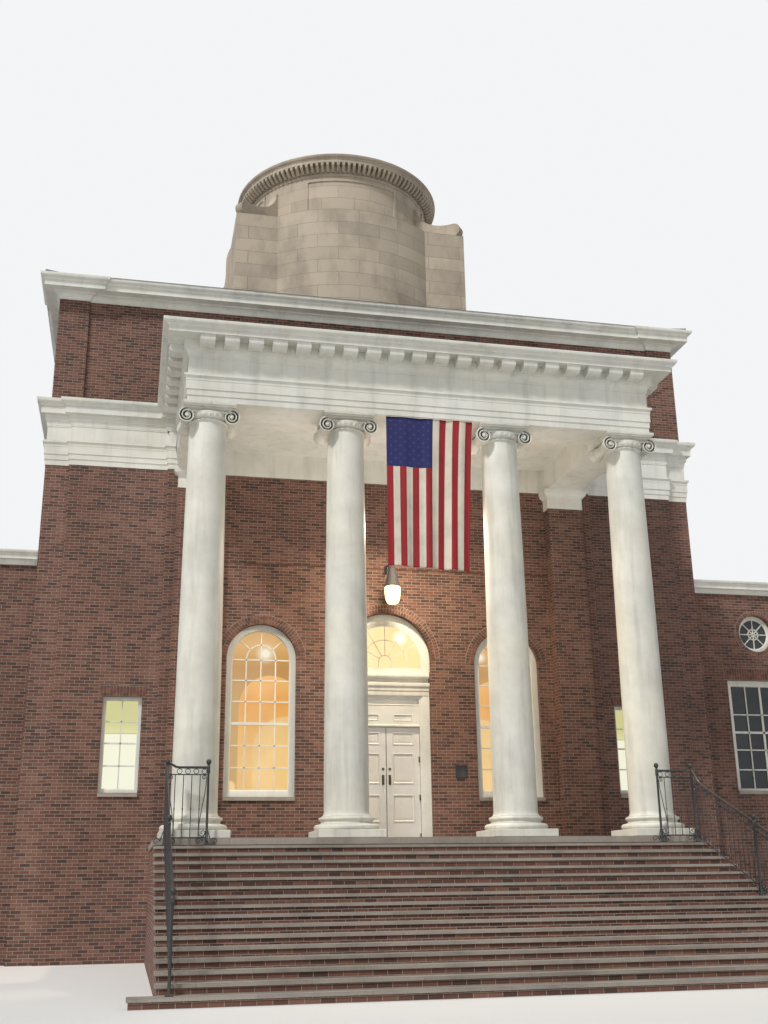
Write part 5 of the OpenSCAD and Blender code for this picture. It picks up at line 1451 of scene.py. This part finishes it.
class TOWNHALL_OT_flag(bpy.types.Operator):
    """Hangs the striped flag between the inner columns and lets it settle"""
    bl_idname = "townhall.flag"
    bl_label = "Flag"

    def execute(self, context):
        s = setting("th_flag")
        lo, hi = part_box("flag")
        y, top = (lo.y + hi.y) / 2, hi.z - 0.012
        left, wide_top, wide_foot = -0.856, 1.793, 1.594
        nx, nz = 72, 110
        points, faces = [], []
        for j in range(nz + 1):
            v = j / nz
            for i in range(nx + 1):
                u = i / nx
                # The right edge falls inwards, so that the foot of the cloth gathers in folds
                down = 1 - v
                x = left + 0.009 * down + u * (wide_top + (wide_foot - wide_top) * down ** 0.8)
                deep = (0.012 + 0.040 * down ** 0.8) * (0.55 + 0.75 * u)
                fold = math.sin(u * math.tau * 3.2 + 0.6 + 0.5 * down) + 0.25 * math.sin(u * math.tau * 7.3 + 2.0 * v)
                points.append((x, y + deep * fold, top - (s.length - 0.022 + 0.067 * u) * down))
        for j in range(nz):
            for i in range(nx):
                k = j * (nx + 1) + i
                faces.append([k, k + 1, k + nx + 2, k + nx + 1])
        mesh = bpy.data.meshes.new("flag_cloth")
        mesh.from_pydata(points, [], faces)
        layer = mesh.uv_layers.new(name="cut")
        for loop in mesh.loops:
            k = loop.vertex_index
            layer.data[loop.index].uv = ((k % (nx + 1)) / nx, (k // (nx + 1)) / nz)
        cloth = bpy.data.objects.new("flag_cloth", mesh)
        bpy.context.scene.collection.objects.link(cloth)
        mesh.materials.append(FINISH["cloth"])
        mesh.shade_smooth()
        group = cloth.vertex_groups.new(name="held")
        group.add([nz * (nx + 1) + i for i in range(nx + 1)], 1.0, "REPLACE")
        settle = cloth.modifiers.new("Settle", "CLOTH")
        settle.settings.vertex_group_mass = "held"
        settle.settings.quality = 6
        settle.settings.mass = 0.15
        settle.settings.tension_stiffness = 40
        settle.settings.compression_stiffness = 40
        settle.settings.bending_stiffness = 0.6
        settle.settings.air_damping = 3.0
        settle.collision_settings.use_collision = False
        settle.point_cache.frame_end = 24
        for step in range(1, 25):
            bpy.context.scene.frame_set(step)
        settled = bpy.data.meshes.new_from_object(cloth.evaluated_get(bpy.context.evaluated_depsgraph_get()))
        cloth.modifiers.remove(settle)
        cloth.vertex_groups.clear()
        cloth.data = settled
        bpy.context.scene.frame_set(1)
        hem = cloth.modifiers.new("Hem", "SOLIDIFY")
        hem.thickness, hem.offset = 0.0016, 0.0
        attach(cloth, BUILDING)
        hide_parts("flag")
        return {"FINISHED"}


# ---- Stage

class TOWNHALL_OT_stage(bpy.types.Operator):
    """Sets the pale floor, the soft light and the camera"""
    bl_idname = "townhall.stage"
    bl_label = "Stage"

    def execute(self, context):
        s, scene = setting("th_stage"), context.scene
        eye = Vector(s.eye)
        yaw, pitch, roll = (math.radians(v) for v in (s.yaw, s.pitch, s.roll))
        ahead = Vector((math.sin(yaw) * math.cos(pitch), math.cos(yaw) * math.cos(pitch), math.sin(pitch)))
        right = Vector((math.cos(yaw), -math.sin(yaw), 0))
        up = right.cross(ahead)
        right, up = right * math.cos(roll) + up * math.sin(roll), up * math.cos(roll) - right * math.sin(roll)
        turn = Matrix((right, up, -ahead)).transposed().to_4x4()
        data = bpy.data.cameras.new("Camera")
        data.sensor_fit, data.sensor_width, data.lens, data.clip_end = "AUTO", 36.0, s.lens, 400.0
        camera = bpy.data.objects.new("Camera", data)
        camera.matrix_world = Matrix.Translation(eye) @ turn
        scene.collection.objects.link(camera)
        scene.camera = camera

        mesh = bpy.data.meshes.new("stage_floor")
        mesh.from_pydata(square(400.0, -0.002), [], [[0, 1, 2, 3]])
        floor = bpy.data.objects.new("stage_floor", mesh)
        scene.collection.objects.link(floor)
        pale = Finish("Stage floor", 0.9)
        pale.give(Base_Color=(0.80, 0.80, 0.79))
        mesh.materials.append(pale.material)

        world = bpy.data.worlds.new("Studio")
        scene.world = world
        world.use_nodes = True
        tree = world.node_tree
        tree.nodes.clear()
        # The sky lights the building, while the camera, reflections and glass see a plain backdrop
        path = put(tree, "ShaderNodeLightPath").outputs
        seen = Value(tree, path["Is Camera Ray"]).most(path["Is Glossy Ray"]).most(path["Is Transmission Ray"])
        glow = put(tree, "ShaderNodeBackground", Color=(0.93, 0.95, 1.0), Strength=s.sky)
        plain = put(tree, "ShaderNodeBackground", Color=(0.90, 0.91, 0.92), Strength=1.0)
        both = put(tree, "ShaderNodeMixShader", seen, glow.outputs[0], plain.outputs[0])
        put(tree, "ShaderNodeOutputWorld", both.outputs[0])

        # Main lamp from the upper left, and a low soft one near the eye
        for name, power, soft, tilt, turn, tint in (("Main lamp", s.sun, 8, 45, -48, (1.0, 0.975, 0.94)),
                ("Fill lamp", s.fill, 50, 80, -6, (1.0, 0.98, 0.95))):
            lamp = bpy.data.lights.new(name, "SUN")
            lamp.energy, lamp.angle, lamp.color = power, math.radians(soft), tint
            sun = bpy.data.objects.new(name, lamp)
            sun.rotation_euler = (math.radians(tilt), 0, math.radians(turn))
            scene.collection.objects.link(sun)
        # Inside the porch: a soft lamp up to the ceiling, and a smaller warm one down over the door
        for name, power, wide, deep, place, tilt, tint in (
                ("Ceiling lamp", s.ceiling, 7.0, 1.6, (0, -2.2, 5.6), 180, (1.0, 0.93, 0.84)),
                ("Doorway lamp", s.doorway, 0.5, 0.3, (0.1, -1.9, 6.6), 0, (1.0, 0.84, 0.62))):
            lamp = bpy.data.lights.new(name, "AREA")
            lamp.energy, lamp.shape, lamp.size, lamp.size_y, lamp.color = power, "RECTANGLE", wide, deep, tint
            soft = bpy.data.objects.new(name, lamp)
            soft.matrix_world = at(*place) @ Matrix.Rotation(math.radians(tilt), 4, "X")
            soft.visible_camera = False
            scene.collection.objects.link(soft)
        scene.view_settings.view_transform = "Standard"
        return {"FINISHED"}


class TOWNHALL_PT_panel(bpy.types.Panel):
    """Lists the pieces and their settings"""
    bl_idname = "TOWNHALL_PT_panel"
    bl_label = "Town Hall"
    bl_space_type = "VIEW_3D"
    bl_region_type = "UI"
    bl_category = "Town Hall"

    def draw(self, context):
        for name, group in SETTINGS.items():
            box = self.layout.box()
            for key in group.__annotations__:
                box.prop(getattr(context.scene, name), key)
        for operator in OPERATORS:
            self.layout.operator(operator.bl_idname)


OPERATORS = [TOWNHALL_OT_finishes, TOWNHALL_OT_columns, TOWNHALL_OT_capitals, TOWNHALL_OT_windows,
    TOWNHALL_OT_fanlight, TOWNHALL_OT_door, TOWNHALL_OT_arches, TOWNHALL_OT_railings, TOWNHALL_OT_lantern,
    TOWNHALL_OT_drum, TOWNHALL_OT_roof_trim, TOWNHALL_OT_flag, TOWNHALL_OT_stage]
CLASSES = [*SETTINGS.values(), *OPERATORS, TOWNHALL_PT_panel]


def register():
    for made in CLASSES:
        bpy.utils.register_class(made)
    for name, group in SETTINGS.items():
        setattr(bpy.types.Scene, name, PointerProperty(type=group))


def unregister():
    for name in SETTINGS:
        delattr(bpy.types.Scene, name)
    for made in reversed(CLASSES):
        bpy.utils.unregister_class(made)


def main():
    register()
    for operator in OPERATORS:
        group, name = operator.bl_idname.split(".")
        getattr(getattr(bpy.ops, group), name)()


if __name__ == "__main__":
    main()
